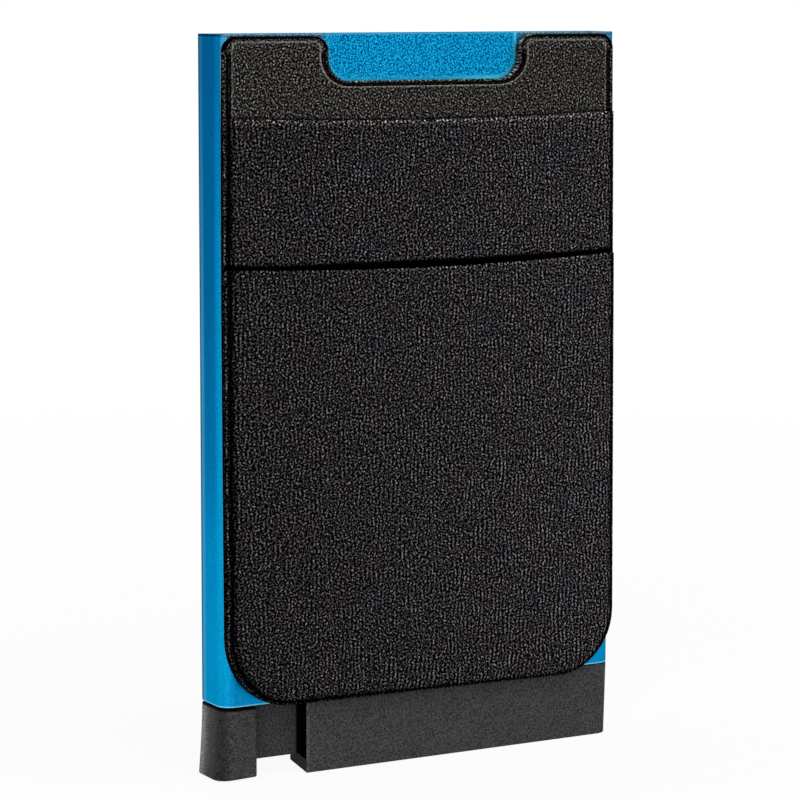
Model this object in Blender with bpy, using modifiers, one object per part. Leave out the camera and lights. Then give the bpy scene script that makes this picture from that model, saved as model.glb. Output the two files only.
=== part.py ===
"""Slim aluminium card case with a thumb lever that lifts the cards, and a two-slot elastic
pocket stuck on its front face. Metres, +Z up, pocket side towards -Y.
The origin is the middle of the footprint, at the underside of the base."""
import math

import bmesh
import bpy
from mathutils import Matrix, Vector

# Aluminium sleeve
CASE_WIDTH = 0.063
CASE_DEPTH = 0.008
CASE_LENGTH = 0.0915
CASE_WALL = 0.001
CASE_CORNER_RADIUS = 0.002
CASE_RIM_BEVEL = 0.00025
SNAP_GROOVE_DEPTH = 0.0005
SNAP_GROOVE_HEIGHT = 0.0012

# Moulded base
BASE_HEIGHT = 0.0105
BASE_FLOOR = 0.0018
BASE_DRAFT = 0.00028
BASE_END_SLANT = 0.0015
BASE_EDGE_BEVEL = 0.00018
SEAM_GAP = 0.00015
TONGUE_CLEARANCE = 0.00015
CHANNEL_END_GAP = 0.00115
CHANNEL_MOUTH_EDGE = 0.00025
CHANNEL_MOUTH_LENGTH = 0.002
CORE_WALL = 0.0012
CORE_RIB = 0.0012
CORE_COUNT = 4
POST_LENGTH = 0.0058
SNAP_RIDGE_HEIGHT = 0.00035
SNAP_RIDGE_WIDTH = 0.0007
SNAP_RIDGE_LENGTH = 0.004
CHEEK_END_GAP = 0.0009
CHEEK_THICKNESS = 0.00115

# Thumb lever with its stepped arm
FOOT_WIDTH = 0.0053
FOOT_GAP = 0.0003
FOOT_FLARE = 0.0006
FOOT_BOTTOM_LEFT = 0.0002
FOOT_BOTTOM_RIGHT = 0.0004
FOOT_INNER_RADIUS = 0.0004
FOOT_EDGE_BEVEL = 0.0002
FINGER_GAP = 0.0076
WEB_FLOOR_GAP = 0.00045
WEB_FILLET_RADIUS = 0.001
LEVER_CLEARANCE = 0.0003
LEVER_SWING = math.radians(33.0)
PIVOT_SHIFT = 0.0022
HUB_RADIUS = 0.002
ARM_SIDE_GAP = 0.0004
ARM_END_GAP = 0.00155
ARM_TOP_GAP = 0.0001
ARM_STEP_SHARE = 0.185
ARM_STEP_COUNT = 5
ARM_ROOT_GAP = 0.0005
ARM_TIP_HEIGHT = 0.0026
ARM_BASE_GAP = 0.00055
UNION_STEP = 0.0001

# Pivot pin
PIN_RADIUS = 0.0009
PIN_CLEARANCE = 0.0001
PIN_END_BEVEL = 0.0002

# Card compartment
CARD_SEAT_RISE = 0.0048
GUIDE_WIDTH = 0.00305
GUIDE_SIDE_GAP = 0.0003
GUIDE_LEAD_IN = 0.0012
GUIDE_TOP_GAP = 0.0016
GUIDE_OUTER_RADIUS = 0.0008
GUIDE_INNER_RADIUS = 0.0003
STRIP_WIDTH = 0.006
STRIP_LENGTH = 0.05
STRIP_THICKNESS = 0.0006
STRIP_SPACING_SHARE = 0.513
STRIP_TOP_GAP = 0.006
STRIP_BEVEL = 0.00015
TAPE_THICKNESS = 0.0001

# Stick-on pocket
LAYER_GAP = 0.00005
POCKET_SIDE_INSET = 0.00055
POCKET_SIDE_SHIFT = 0.0004
POCKET_TOP_DROP = 0.0003
POCKET_LEFT_OVERHANG = 0.0003
POCKET_RIGHT_OVERHANG = 0.0008
POCKET_TOP_RADIUS = 0.002
POCKET_BOTTOM_RADIUS = 0.0088
NOTCH_WIDTH = 0.0297
NOTCH_DEPTH = 0.0061
NOTCH_MOUTH_RADIUS = 0.0018
NOTCH_CORNER_RADIUS = 0.0042
PAD_THICKNESS = 0.00025
PAD_INSET = 0.0001
BACKING_THICKNESS = 0.0006
BACKING_BEVEL = 0.0003
FILM_THICKNESS = 0.00006
FILM_WIDTH = 0.0018
FILM_INSET = 0.0005
PANEL_INSET = 0.00015
PANEL_RIM_THICKNESS = 0.00015
PANEL_FIELD_THICKNESS = 0.00055
PANEL_RIM_WIDTH = 0.0012
PANEL_BEVEL = 0.0002
MID_MOUTH_DROP = 0.01095
MID_MOUTH_SAG = 0.00065
FRONT_MOUTH_DROP = 0.0311
FRONT_MOUTH_SAG = 0.0008
MOUTH_GAP = 0.0003
HEM_STANDOUT = 0.0002

# Fineness
CORNER_SEGMENTS = 8
ROUND_SEGMENTS = 32
MOUTH_SEGMENTS = 16
FLARE_LEVELS = 4
FLARE_POWER = 1.5
SMOOTH_ANGLE = math.radians(35.0)
BEVEL_ANGLE = math.radians(50.0)
OVERRUN = 0.001

# Places worked out from the sizes above
HALF_WIDTH = CASE_WIDTH / 2
HALF_DEPTH = CASE_DEPTH / 2
INNER_HALF_WIDTH = HALF_WIDTH - CASE_WALL
INNER_HALF_DEPTH = HALF_DEPTH - CASE_WALL
INNER_CORNER_RADIUS = max(CASE_CORNER_RADIUS - CASE_WALL, SEAM_GAP)
TOP_HEIGHT = BASE_HEIGHT + CASE_LENGTH
BASE_TOP = BASE_HEIGHT - SEAM_GAP
FOOT_LEFT_X = -HALF_WIDTH
FOOT_RIGHT_X = FOOT_LEFT_X + FOOT_WIDTH
BASE_LEFT_X = FOOT_RIGHT_X + FINGER_GAP
TONGUE_HALF_DEPTH = INNER_HALF_DEPTH - TONGUE_CLEARANCE
TONGUE_HALF_WIDTH = INNER_HALF_WIDTH - TONGUE_CLEARANCE
CHANNEL_HALF_DEPTH = TONGUE_HALF_DEPTH - CHEEK_THICKNESS
WEB_HALF_DEPTH = CHANNEL_HALF_DEPTH - LEVER_CLEARANCE
WEB_BOTTOM_Z = BASE_FLOOR + WEB_FLOOR_GAP
CARD_SEAT_Z = BASE_HEIGHT + CARD_SEAT_RISE
POST_LEFT_X = TONGUE_HALF_WIDTH - POST_LENGTH
ARM_TOP_Z = CARD_SEAT_Z - ARM_TOP_GAP
ARM_BOTTOM_Z = BASE_TOP + ARM_BASE_GAP
ARM_HALF_DEPTH = INNER_HALF_DEPTH - ARM_SIDE_GAP
ARM_TIP_X = POST_LEFT_X - ARM_END_GAP
PIVOT = Vector((FOOT_RIGHT_X + PIVOT_SHIFT, 0.0, ARM_TOP_Z - HUB_RADIUS))
WEB_REACH = ((BASE_LEFT_X - PIVOT.x) * math.cos(LEVER_SWING)
             + (PIVOT.z - WEB_BOTTOM_Z) * math.sin(LEVER_SWING))
CHANNEL_END_X = PIVOT.x + WEB_REACH + CHANNEL_END_GAP
ARM_ROOT_X = CHANNEL_END_X + ARM_ROOT_GAP
ARM_STEP_LENGTH = ARM_STEP_SHARE * (ARM_TIP_X - ARM_ROOT_X)
SNAP_Z = BASE_HEIGHT + CARD_SEAT_RISE / 2
GUIDE_INNER_X = TONGUE_HALF_WIDTH - GUIDE_WIDTH
STRIP_MIDDLE_X = GUIDE_INNER_X * STRIP_SPACING_SHARE
POCKET_LEFT_X = -HALF_WIDTH + POCKET_SIDE_INSET - POCKET_SIDE_SHIFT
POCKET_RIGHT_X = HALF_WIDTH - POCKET_SIDE_INSET - POCKET_SIDE_SHIFT
POCKET_LOW_LEFT_Z = BASE_HEIGHT - POCKET_LEFT_OVERHANG
POCKET_LOW_RIGHT_Z = BASE_HEIGHT - POCKET_RIGHT_OVERHANG
POCKET_TOP_Z = TOP_HEIGHT - POCKET_TOP_DROP
MID_MOUTH_Z = POCKET_TOP_Z - MID_MOUTH_DROP
FRONT_MOUTH_Z = POCKET_TOP_Z - FRONT_MOUTH_DROP
PAD_BACK_Y = -HALF_DEPTH - LAYER_GAP
PAD_FRONT_Y = PAD_BACK_Y - PAD_THICKNESS
BACKING_BACK_Y = PAD_FRONT_Y - LAYER_GAP
BACKING_FRONT_Y = BACKING_BACK_Y - BACKING_THICKNESS
MID_FILM_BACK_Y = BACKING_FRONT_Y - LAYER_GAP
MID_FILM_FRONT_Y = MID_FILM_BACK_Y - FILM_THICKNESS
MID_PANEL_BACK_Y = MID_FILM_FRONT_Y - LAYER_GAP
FRONT_FILM_BACK_Y = MID_PANEL_BACK_Y - PANEL_RIM_THICKNESS - LAYER_GAP
FRONT_FILM_FRONT_Y = FRONT_FILM_BACK_Y - FILM_THICKNESS
FRONT_PANEL_BACK_Y = FRONT_FILM_FRONT_Y - LAYER_GAP

PART_NAME = "pop_up_card_holder"


def clear_scene():
    """Start from an empty scene."""
    for obj in list(bpy.data.objects):
        bpy.data.objects.remove(obj, do_unlink=True)


def new_collection(name):
    """Make a collection under the scene's own one."""
    collection = bpy.data.collections.new(name)
    bpy.context.scene.collection.children.link(collection)
    return collection


def new_material(name, colour, roughness, metallic):
    """Make a Principled material of one colour."""
    material = bpy.data.materials.new(name)
    material.use_nodes = True
    shader = material.node_tree.nodes["Principled BSDF"]
    shader.inputs["Base Color"].default_value = (*colour, 1.0)
    shader.inputs["Roughness"].default_value = roughness
    shader.inputs["Metallic"].default_value = metallic
    material.diffuse_color = (*colour, 1.0)
    return material


def arc(centre_x, centre_y, radius, start_deg, end_deg, segments=CORNER_SEGMENTS):
    """Points along an arc, ends included."""
    points = []
    for step in range(segments + 1):
        angle = math.radians(start_deg + (end_deg - start_deg) * step / segments)
        points.append((centre_x + radius * math.cos(angle), centre_y + radius * math.sin(angle)))
    return points


def rounded_rectangle(left, low, right, high, radii):
    """Outline with its own radius at each corner: low left, low right, high right, high left."""
    outline = []
    outline += arc(left + radii[0], low + radii[0], radii[0], 180, 270)
    outline += arc(right - radii[1], low + radii[1], radii[1], 270, 360)
    outline += arc(right - radii[2], high - radii[2], radii[2], 0, 90)
    outline += arc(left + radii[3], high - radii[3], radii[3], 90, 180)
    return outline


def mesh_from_curve(curve_object):
    """Turn a curve object into a welded mesh object and remove the curve."""
    graph = bpy.context.evaluated_depsgraph_get()
    mesh = bpy.data.meshes.new_from_object(curve_object.evaluated_get(graph))
    work = bmesh.new()
    work.from_mesh(mesh)
    bmesh.ops.remove_doubles(work, verts=work.verts, dist=UNION_STEP / ROUND_SEGMENTS)
    bmesh.ops.recalc_face_normals(work, faces=work.faces)
    work.to_mesh(mesh)
    work.free()
    mesh.materials.clear()
    name = curve_object.name
    matrix = curve_object.matrix_world.copy()
    bpy.data.objects.remove(curve_object, do_unlink=True)
    solid = bpy.data.objects.new(name, mesh)
    mesh.transform(matrix)
    PARTS.objects.link(solid)
    return solid


def slab(name, outlines, low, high, upright=False):
    """Extrude a flat outline, with any holes, from low to high.
    The outline lies in X and Y and goes up, or if upright lies in X and Z and goes along Y."""
    curve = bpy.data.curves.new(name, "CURVE")
    curve.dimensions = "2D"
    curve.fill_mode = "BOTH"
    curve.extrude = (high - low) / 2
    for outline in outlines:
        spline = curve.splines.new("POLY")
        spline.points.add(len(outline) - 1)
        for point, place in zip(spline.points, outline):
            point.co = (place[0], place[1], 0.0, 1.0)
        spline.use_cyclic_u = True
    solid = bpy.data.objects.new(name, curve)
    middle = (high + low) / 2
    if upright:
        solid.rotation_euler.x = math.radians(90.0)
        solid.location.y = middle
    else:
        solid.location.z = middle
    PARTS.objects.link(solid)
    bpy.context.view_layer.update()
    return mesh_from_curve(solid)


def box(name, low, high):
    """A box between two corners."""
    bpy.ops.mesh.primitive_cube_add(size=1.0)
    solid = bpy.context.active_object
    solid.name = name
    size = [b - a for a, b in zip(low, high)]
    middle = [(a + b) / 2 for a, b in zip(low, high)]
    solid.data.transform(Matrix.Translation(middle) @ Matrix.Diagonal((*size, 1.0)))
    for collection in list(solid.users_collection):
        collection.objects.unlink(solid)
    PARTS.objects.link(solid)
    return solid


def rod(name, radius, start_y, end_y, centre):
    """A round bar along Y about a centre in X and Z."""
    outline = arc(centre.x, centre.z, radius, 0, 360, ROUND_SEGMENTS)[:-1]
    return slab(name, [outline], start_y, end_y, upright=True)


def apply_modifiers(solid):
    """Replace an object's mesh by what its modifiers make of it."""
    graph = bpy.context.evaluated_depsgraph_get()
    mesh = bpy.data.meshes.new_from_object(solid.evaluated_get(graph))
    solid.modifiers.clear()
    solid.data = mesh


def bevel(solid, width, segments=2, angle=BEVEL_ANGLE):
    """Round every edge sharper than the angle."""
    modifier = solid.modifiers.new("edge_bevel", "BEVEL")
    modifier.width = width
    modifier.segments = segments
    modifier.limit_method = "ANGLE"
    modifier.angle_limit = angle
    apply_modifiers(solid)


def boolean(solid, other, operation):
    """Cut the other solid from this one, or join it on, and remove the other."""
    modifier = solid.modifiers.new("boolean", "BOOLEAN")
    modifier.operation = operation
    modifier.solver = "EXACT"
    modifier.object = other
    apply_modifiers(solid)
    bpy.data.objects.remove(other, do_unlink=True)


def cut(solid, other):
    """Take the other solid away from this one."""
    boolean(solid, other, "DIFFERENCE")


def join(solid, other):
    """Fuse the other solid to this one."""
    boolean(solid, other, "UNION")


def finish(solid, material, origin=None):
    """Give a solid its material, smooth shading on its round faces, and its origin."""
    solid.data.materials.clear()
    solid.data.materials.append(material)
    if origin is not None:
        solid.data.transform(Matrix.Translation(-origin))
        solid.location = origin
    solid.data.shade_smooth()
    solid.data.set_sharp_from_angle(angle=SMOOTH_ANGLE)
    return solid


def snap_places():
    """Middle X of each snap ridge on the base's tongue: one by the pivot, one on the post."""
    return (CHANNEL_END_X - SNAP_RIDGE_LENGTH / 2 - CHEEK_END_GAP, POST_LEFT_X + POST_LENGTH / 2)


def case_sleeve(material):
    """The extruded tube, open at both ends, with grooves inside for the base's snap ridges."""
    outer = rounded_rectangle(-HALF_WIDTH, -HALF_DEPTH, HALF_WIDTH, HALF_DEPTH, [CASE_CORNER_RADIUS] * 4)
    inner = rounded_rectangle(-INNER_HALF_WIDTH, -INNER_HALF_DEPTH, INNER_HALF_WIDTH, INNER_HALF_DEPTH,
                              [INNER_CORNER_RADIUS] * 4)
    solid = slab("case_sleeve", [outer, inner], BASE_HEIGHT, TOP_HEIGHT)
    bevel(solid, CASE_RIM_BEVEL)
    half_length = SNAP_RIDGE_LENGTH / 2 + LEVER_CLEARANCE
    depth = INNER_HALF_DEPTH + SNAP_GROOVE_DEPTH
    for middle_x in snap_places():
        groove = box("snap_groove",
                     (middle_x - half_length, -depth, SNAP_Z - SNAP_GROOVE_HEIGHT / 2),
                     (middle_x + half_length, depth, SNAP_Z + SNAP_GROOVE_HEIGHT / 2))
        cut(solid, groove)
    return finish(solid, material)


def base_shell():
    """The outer body of the base, with draft at its closed end."""
    outline = [(BASE_LEFT_X, -HALF_DEPTH)]
    outline += arc(HALF_WIDTH - CASE_CORNER_RADIUS, -HALF_DEPTH + CASE_CORNER_RADIUS,
                   CASE_CORNER_RADIUS, 270, 360)
    outline += arc(HALF_WIDTH - CASE_CORNER_RADIUS, HALF_DEPTH - CASE_CORNER_RADIUS,
                   CASE_CORNER_RADIUS, 0, 90)
    outline += [(BASE_LEFT_X + BASE_END_SLANT, HALF_DEPTH)]
    solid = slab("base_block", [outline], 0.0, BASE_TOP)
    for vertex in solid.data.vertices:
        if vertex.co.z < BASE_TOP / 2 and vertex.co.x > HALF_WIDTH - CASE_CORNER_RADIUS:
            vertex.co.x -= BASE_DRAFT
    bevel(solid, BASE_EDGE_BEVEL)
    return solid


def lever_channel():
    """The space in the base that the lever's web swings into, flared at its mouth."""
    mouth = HALF_DEPTH - CHANNEL_MOUTH_EDGE
    slope = (mouth - CHANNEL_HALF_DEPTH) / CHANNEL_MOUTH_LENGTH
    outside = mouth + slope * OVERRUN
    neck_x = BASE_LEFT_X + CHANNEL_MOUTH_LENGTH
    outline = [(BASE_LEFT_X - OVERRUN, -outside), (neck_x, -CHANNEL_HALF_DEPTH),
               (CHANNEL_END_X, -CHANNEL_HALF_DEPTH), (CHANNEL_END_X, CHANNEL_HALF_DEPTH),
               (neck_x, CHANNEL_HALF_DEPTH), (BASE_LEFT_X - OVERRUN, outside)]
    return slab("lever_channel", [outline], BASE_FLOOR, BASE_TOP + OVERRUN)


def hinge_cheek(side):
    """One cheek of the tongue, which carries an end of the pivot pin inside the sleeve."""
    left = -INNER_HALF_WIDTH + CHEEK_END_GAP
    low = BASE_HEIGHT + SEAM_GAP / 2
    root = BASE_TOP - CASE_WALL
    radius = HUB_RADIUS
    outline = [(left, low), (BASE_LEFT_X + SEAM_GAP, low), (BASE_LEFT_X + SEAM_GAP, root),
               (CHANNEL_END_X - SEAM_GAP, root), (CHANNEL_END_X - SEAM_GAP, CARD_SEAT_Z)]
    outline += arc(left + radius, CARD_SEAT_Z - radius, radius, 90, 180)
    inner = side * CHANNEL_HALF_DEPTH
    outer = side * TONGUE_HALF_DEPTH
    return slab("hinge_cheek", [outline], min(inner, outer), max(inner, outer), upright=True)


def base_block(material):
    """The base: body, lever channel, core pockets, tongue with the pin's bore, snap ridges."""
    solid = base_shell()
    cut(solid, lever_channel())
    core_left = CHANNEL_END_X + CORE_RIB
    core_pitch = (POST_LEFT_X - core_left) / CORE_COUNT
    for number in range(CORE_COUNT):
        left = core_left + number * core_pitch
        pocket = box("core_pocket", (left, -HALF_DEPTH + CORE_WALL, BASE_FLOOR),
                     (left + core_pitch - CORE_RIB, HALF_DEPTH - CORE_WALL, BASE_TOP + OVERRUN))
        cut(solid, pocket)
    for side in (-1, 1):
        join(solid, hinge_cheek(side))
    tongue_corner = INNER_CORNER_RADIUS
    post = slab("end_post", [rounded_rectangle(POST_LEFT_X, -TONGUE_HALF_DEPTH, TONGUE_HALF_WIDTH,
                                               TONGUE_HALF_DEPTH, [tongue_corner] * 4)],
                BASE_TOP - CASE_WALL, CARD_SEAT_Z)
    join(solid, post)
    for middle_x in snap_places():
        for side in (-1, 1):
            inner = side * (TONGUE_HALF_DEPTH - SNAP_RIDGE_HEIGHT)
            outer = side * (TONGUE_HALF_DEPTH + SNAP_RIDGE_HEIGHT)
            ridge = box("snap_ridge",
                        (middle_x - SNAP_RIDGE_LENGTH / 2, min(inner, outer), SNAP_Z - SNAP_RIDGE_WIDTH / 2),
                        (middle_x + SNAP_RIDGE_LENGTH / 2, max(inner, outer), SNAP_Z + SNAP_RIDGE_WIDTH / 2))
            join(solid, ridge)
    bore = rod("pin_bore", PIN_RADIUS + PIN_CLEARANCE, -HALF_DEPTH, HALF_DEPTH, PIVOT)
    cut(solid, bore)
    return finish(solid, material)


def thumb_foot():
    """The thumb piece that continues the case's rounded side, flared at its lower end."""
    outline = rounded_rectangle(FOOT_LEFT_X, -HALF_DEPTH, FOOT_RIGHT_X, HALF_DEPTH,
                                [CASE_CORNER_RADIUS, FOOT_INNER_RADIUS, FOOT_INNER_RADIUS,
                                 CASE_CORNER_RADIUS])
    top = BASE_HEIGHT - FOOT_GAP
    work = bmesh.new()
    face = work.faces.new([work.verts.new((x, y, top)) for x, y in outline])
    previous = 1.0
    for level in range(1, FLARE_LEVELS + 1):
        share = level / FLARE_LEVELS
        stretch = 1.0 + FOOT_FLARE / FOOT_WIDTH * share ** FLARE_POWER
        grown = bmesh.ops.extrude_face_region(work, geom=[face])["geom"]
        if level > 1:
            work.faces.remove(face)
        face = [item for item in grown if isinstance(item, bmesh.types.BMFace)][0]
        for vertex in face.verts:
            width_share = (FOOT_RIGHT_X - vertex.co.x) / previous / FOOT_WIDTH
            bottom = FOOT_BOTTOM_RIGHT + (FOOT_BOTTOM_LEFT - FOOT_BOTTOM_RIGHT) * width_share
            vertex.co.x = FOOT_RIGHT_X - FOOT_WIDTH * width_share * stretch
            vertex.co.z = top + (bottom - top) * share
        previous = stretch
    bmesh.ops.recalc_face_normals(work, faces=work.faces)
    mesh = bpy.data.meshes.new("ejector_lever")
    work.to_mesh(mesh)
    work.free()
    solid = bpy.data.objects.new("ejector_lever", mesh)
    PARTS.objects.link(solid)
    bevel(solid, FOOT_EDGE_BEVEL)
    return solid


def foot_fillet():
    """The hollow curve where the foot's sides run into the thin web."""
    half = WEB_HALF_DEPTH
    radius = WEB_FILLET_RADIUS
    start_x = FOOT_RIGHT_X + radius
    outline = [(FOOT_RIGHT_X - radius, -half - radius), (FOOT_RIGHT_X, -half - radius)]
    outline += arc(start_x, -half - radius, radius, 180, 90)[1:]
    outline += arc(start_x, half + radius, radius, 270, 180)[:-1]
    outline += [(FOOT_RIGHT_X, half + radius), (FOOT_RIGHT_X - radius, half + radius)]
    return slab("foot_fillet", [outline], WEB_BOTTOM_Z + UNION_STEP, BASE_HEIGHT - FOOT_GAP - UNION_STEP)


def lever_web():
    """The thin plate from the foot to the hub and the root of the arm."""
    foot_middle = (FOOT_LEFT_X + FOOT_RIGHT_X) / 2
    outline = [(foot_middle, WEB_BOTTOM_Z), (BASE_LEFT_X, WEB_BOTTOM_Z), (BASE_LEFT_X, ARM_BOTTOM_Z),
               (ARM_ROOT_X + UNION_STEP, ARM_BOTTOM_Z), (ARM_ROOT_X + UNION_STEP, ARM_TOP_Z)]
    outline += arc(PIVOT.x, PIVOT.z, HUB_RADIUS, 90, 180)
    outline += [(foot_middle, BASE_HEIGHT - FOOT_GAP - UNION_STEP)]
    return slab("lever_web", [outline], -WEB_HALF_DEPTH, WEB_HALF_DEPTH, upright=True)


def stepped_arm():
    """The arm under the cards: its tip is cut back in steps, so each card rises to its own height."""
    front = -ARM_HALF_DEPTH
    pitch = 2 * ARM_HALF_DEPTH / ARM_STEP_COUNT
    neck = WEB_HALF_DEPTH - UNION_STEP
    outline = [(CHANNEL_END_X - ARM_ROOT_GAP, -neck), (ARM_ROOT_X, -neck), (ARM_ROOT_X, front)]
    for number in range(ARM_STEP_COUNT):
        step_x = ARM_TIP_X - number * ARM_STEP_LENGTH
        outline.append((step_x, front + number * pitch))
        outline.append((step_x, front + (number + 1) * pitch))
    outline += [(ARM_ROOT_X, -front), (ARM_ROOT_X, neck), (CHANNEL_END_X - ARM_ROOT_GAP, neck)]
    top = ARM_TOP_Z + UNION_STEP / 2
    bottom = ARM_BOTTOM_Z + UNION_STEP
    solid = slab("stepped_arm", [outline], bottom, top)
    rise = top - ARM_TIP_HEIGHT - bottom
    for vertex in solid.data.vertices:
        if vertex.co.z < (top + bottom) / 2 and vertex.co.x > ARM_ROOT_X:
            vertex.co.z += rise * (vertex.co.x - ARM_ROOT_X) / (ARM_TIP_X - ARM_ROOT_X)
    return solid


def ejector_lever(material):
    """Foot, web, hub and stepped arm in one moulding, turning on the pivot pin."""
    solid = thumb_foot()
    join(solid, foot_fillet())
    join(solid, lever_web())
    join(solid, stepped_arm())
    bore = rod("hub_bore", PIN_RADIUS + PIN_CLEARANCE, -HALF_DEPTH, HALF_DEPTH, PIVOT)
    cut(solid, bore)
    return finish(solid, material, origin=PIVOT)


def pivot_pin(material):
    """The steel pin, held between the sleeve's two broad walls."""
    solid = rod("pivot_pin", PIN_RADIUS, -TONGUE_HALF_DEPTH, TONGUE_HALF_DEPTH, PIVOT)
    bevel(solid, PIN_END_BEVEL)
    return finish(solid, material)


def guide_rail(name, side, material):
    """A rail inside one narrow wall, with a sloped top that leads the cards in."""
    inner = side * GUIDE_INNER_X
    outer = side * TONGUE_HALF_WIDTH
    if side > 0:
        radii = [GUIDE_INNER_RADIUS, GUIDE_OUTER_RADIUS, GUIDE_OUTER_RADIUS, GUIDE_INNER_RADIUS]
    else:
        radii = [GUIDE_OUTER_RADIUS, GUIDE_INNER_RADIUS, GUIDE_INNER_RADIUS, GUIDE_OUTER_RADIUS]
    half_depth = INNER_HALF_DEPTH - GUIDE_SIDE_GAP
    outline = rounded_rectangle(min(inner, outer), -half_depth, max(inner, outer), half_depth, radii)
    top = TOP_HEIGHT - GUIDE_TOP_GAP
    solid = slab(name, [outline], CARD_SEAT_Z + FOOT_GAP, top)
    for vertex in solid.data.vertices:
        if vertex.co.z > top - GUIDE_LEAD_IN:
            from_outer = abs(outer - vertex.co.x) / abs(outer - inner)
            vertex.co.z -= GUIDE_LEAD_IN * from_outer
    return finish(solid, material)


def friction_strip(name, side, material):
    """A felt strip on the rear wall that keeps the cards from sliding out."""
    back = INNER_HALF_DEPTH - 2 * LAYER_GAP - TAPE_THICKNESS
    middle = side * STRIP_MIDDLE_X
    top = TOP_HEIGHT - STRIP_TOP_GAP
    solid = box(name, (middle - STRIP_WIDTH / 2, back - STRIP_THICKNESS, top - STRIP_LENGTH),
                (middle + STRIP_WIDTH / 2, back, top))
    bevel(solid, STRIP_BEVEL)
    return finish(solid, material)


def strip_tape(name, side, material):
    """The double-sided tape between a felt strip and the rear wall."""
    back = INNER_HALF_DEPTH - LAYER_GAP
    middle = side * STRIP_MIDDLE_X
    top = TOP_HEIGHT - STRIP_TOP_GAP
    solid = box(name, (middle - STRIP_WIDTH / 2, back - TAPE_THICKNESS, top - STRIP_LENGTH),
                (middle + STRIP_WIDTH / 2, back, top))
    return finish(solid, material)


def pocket_lower_edge(inset):
    """The lower half of the pocket's outline, from its left side round to its right side."""
    radius = POCKET_BOTTOM_RADIUS - inset
    left = POCKET_LEFT_X + inset
    right = POCKET_RIGHT_X - inset
    outline = arc(left + radius, POCKET_LOW_LEFT_Z + inset + radius, radius, 180, 270)
    outline += arc(right - radius, POCKET_LOW_RIGHT_Z + inset + radius, radius, 270, 360)
    return outline


def notched_outline(inset):
    """The backing's whole outline, with the thumb notch in its top edge."""
    left = POCKET_LEFT_X + inset
    right = POCKET_RIGHT_X - inset
    top = POCKET_TOP_Z - inset
    corner = POCKET_TOP_RADIUS - inset
    mouth = NOTCH_MOUTH_RADIUS - inset
    inner = NOTCH_CORNER_RADIUS + inset
    notch_half = NOTCH_WIDTH / 2 + inset
    notch_left = -POCKET_SIDE_SHIFT - notch_half
    notch_right = -POCKET_SIDE_SHIFT + notch_half
    notch_floor = POCKET_TOP_Z - NOTCH_DEPTH - inset
    outline = pocket_lower_edge(inset)
    outline += arc(right - corner, top - corner, corner, 0, 90)
    outline += arc(notch_right + mouth, top - mouth, mouth, 90, 180)
    outline += arc(notch_right - inner, notch_floor + inner, inner, 360, 270)
    outline += arc(notch_left + inner, notch_floor + inner, inner, 270, 180)
    outline += arc(notch_left - mouth, top - mouth, mouth, 0, 90)
    outline += arc(left + corner, top - corner, corner, 90, 180)
    return outline


def mouth_line(left, right, end_z, sag):
    """The stretched top edge of a panel, from right to left, lowest in the middle."""
    middle = (left + right) / 2
    half = (right - left) / 2
    points = []
    for step in range(MOUTH_SEGMENTS + 1):
        x = right + (left - right) * step / MOUTH_SEGMENTS
        points.append((x, end_z - sag * (1.0 - ((x - middle) / half) ** 2)))
    return points


def front_bevel(solid, front_y, width):
    """Round the edges of a sheet's front face only."""
    work = bmesh.new()
    work.from_mesh(solid.data)
    edges = []
    for edge in work.edges:
        at_front = all(abs(vertex.co.y - front_y) < LAYER_GAP / 2 for vertex in edge.verts)
        if at_front and len(edge.link_faces) == 2 and edge.calc_face_angle(0.0) > BEVEL_ANGLE:
            edges.append(edge)
    bmesh.ops.bevel(work, geom=edges, offset=width, segments=2, profile=0.5, affect="EDGES")
    work.to_mesh(solid.data)
    work.free()


def adhesive_pad(material):
    """The adhesive sheet that holds the pocket on the sleeve's front."""
    solid = slab("adhesive_pad", [notched_outline(PAD_INSET)], PAD_FRONT_Y, PAD_BACK_Y, upright=True)
    return finish(solid, material)


def pocket_backing(material):
    """The leather-like sheet that carries both panels and ends in two tabs beside the notch."""
    solid = slab("pocket_backing", [notched_outline(0.0)], BACKING_FRONT_Y, BACKING_BACK_Y, upright=True)
    front_bevel(solid, BACKING_FRONT_Y, BACKING_BEVEL)
    return finish(solid, material)


def bond_film(name, top_z, front_y, back_y, material):
    """The U-shaped hot-melt film under a panel's sides and bottom."""
    outer = pocket_lower_edge(FILM_INSET)
    inner = pocket_lower_edge(FILM_INSET + FILM_WIDTH)
    outline = outer + [(outer[-1][0], top_z), (inner[-1][0], top_z)]
    outline += inner[::-1]
    outline += [(inner[0][0], top_z), (outer[0][0], top_z)]
    solid = slab(name, [outline], front_y, back_y, upright=True)
    return finish(solid, material)


def elastic_panel(name, back_y, mouth_z, sag, field_low_z, material):
    """A knit panel: a thin pressed rim all round and a thicker field that ends at the mouth."""
    lower = pocket_lower_edge(PANEL_INSET)
    left = lower[0][0]
    right = lower[-1][0]
    rim = lower + mouth_line(left, right, mouth_z - HEM_STANDOUT, sag)
    solid = slab(name, [rim], back_y - PANEL_RIM_THICKNESS, back_y, upright=True)
    field_left = left + PANEL_RIM_WIDTH
    field_right = right - PANEL_RIM_WIDTH
    if field_low_z is None:
        field = pocket_lower_edge(PANEL_INSET + PANEL_RIM_WIDTH)
    else:
        field = [(field_left, field_low_z), (field_right, field_low_z)]
    field += mouth_line(field_left, field_right, mouth_z, sag)
    front_y = back_y - PANEL_FIELD_THICKNESS
    raised = slab("field", [field], front_y, back_y - PANEL_RIM_THICKNESS / 2, upright=True)
    front_bevel(raised, front_y, PANEL_BEVEL)
    join(solid, raised)
    return finish(solid, material)


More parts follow.
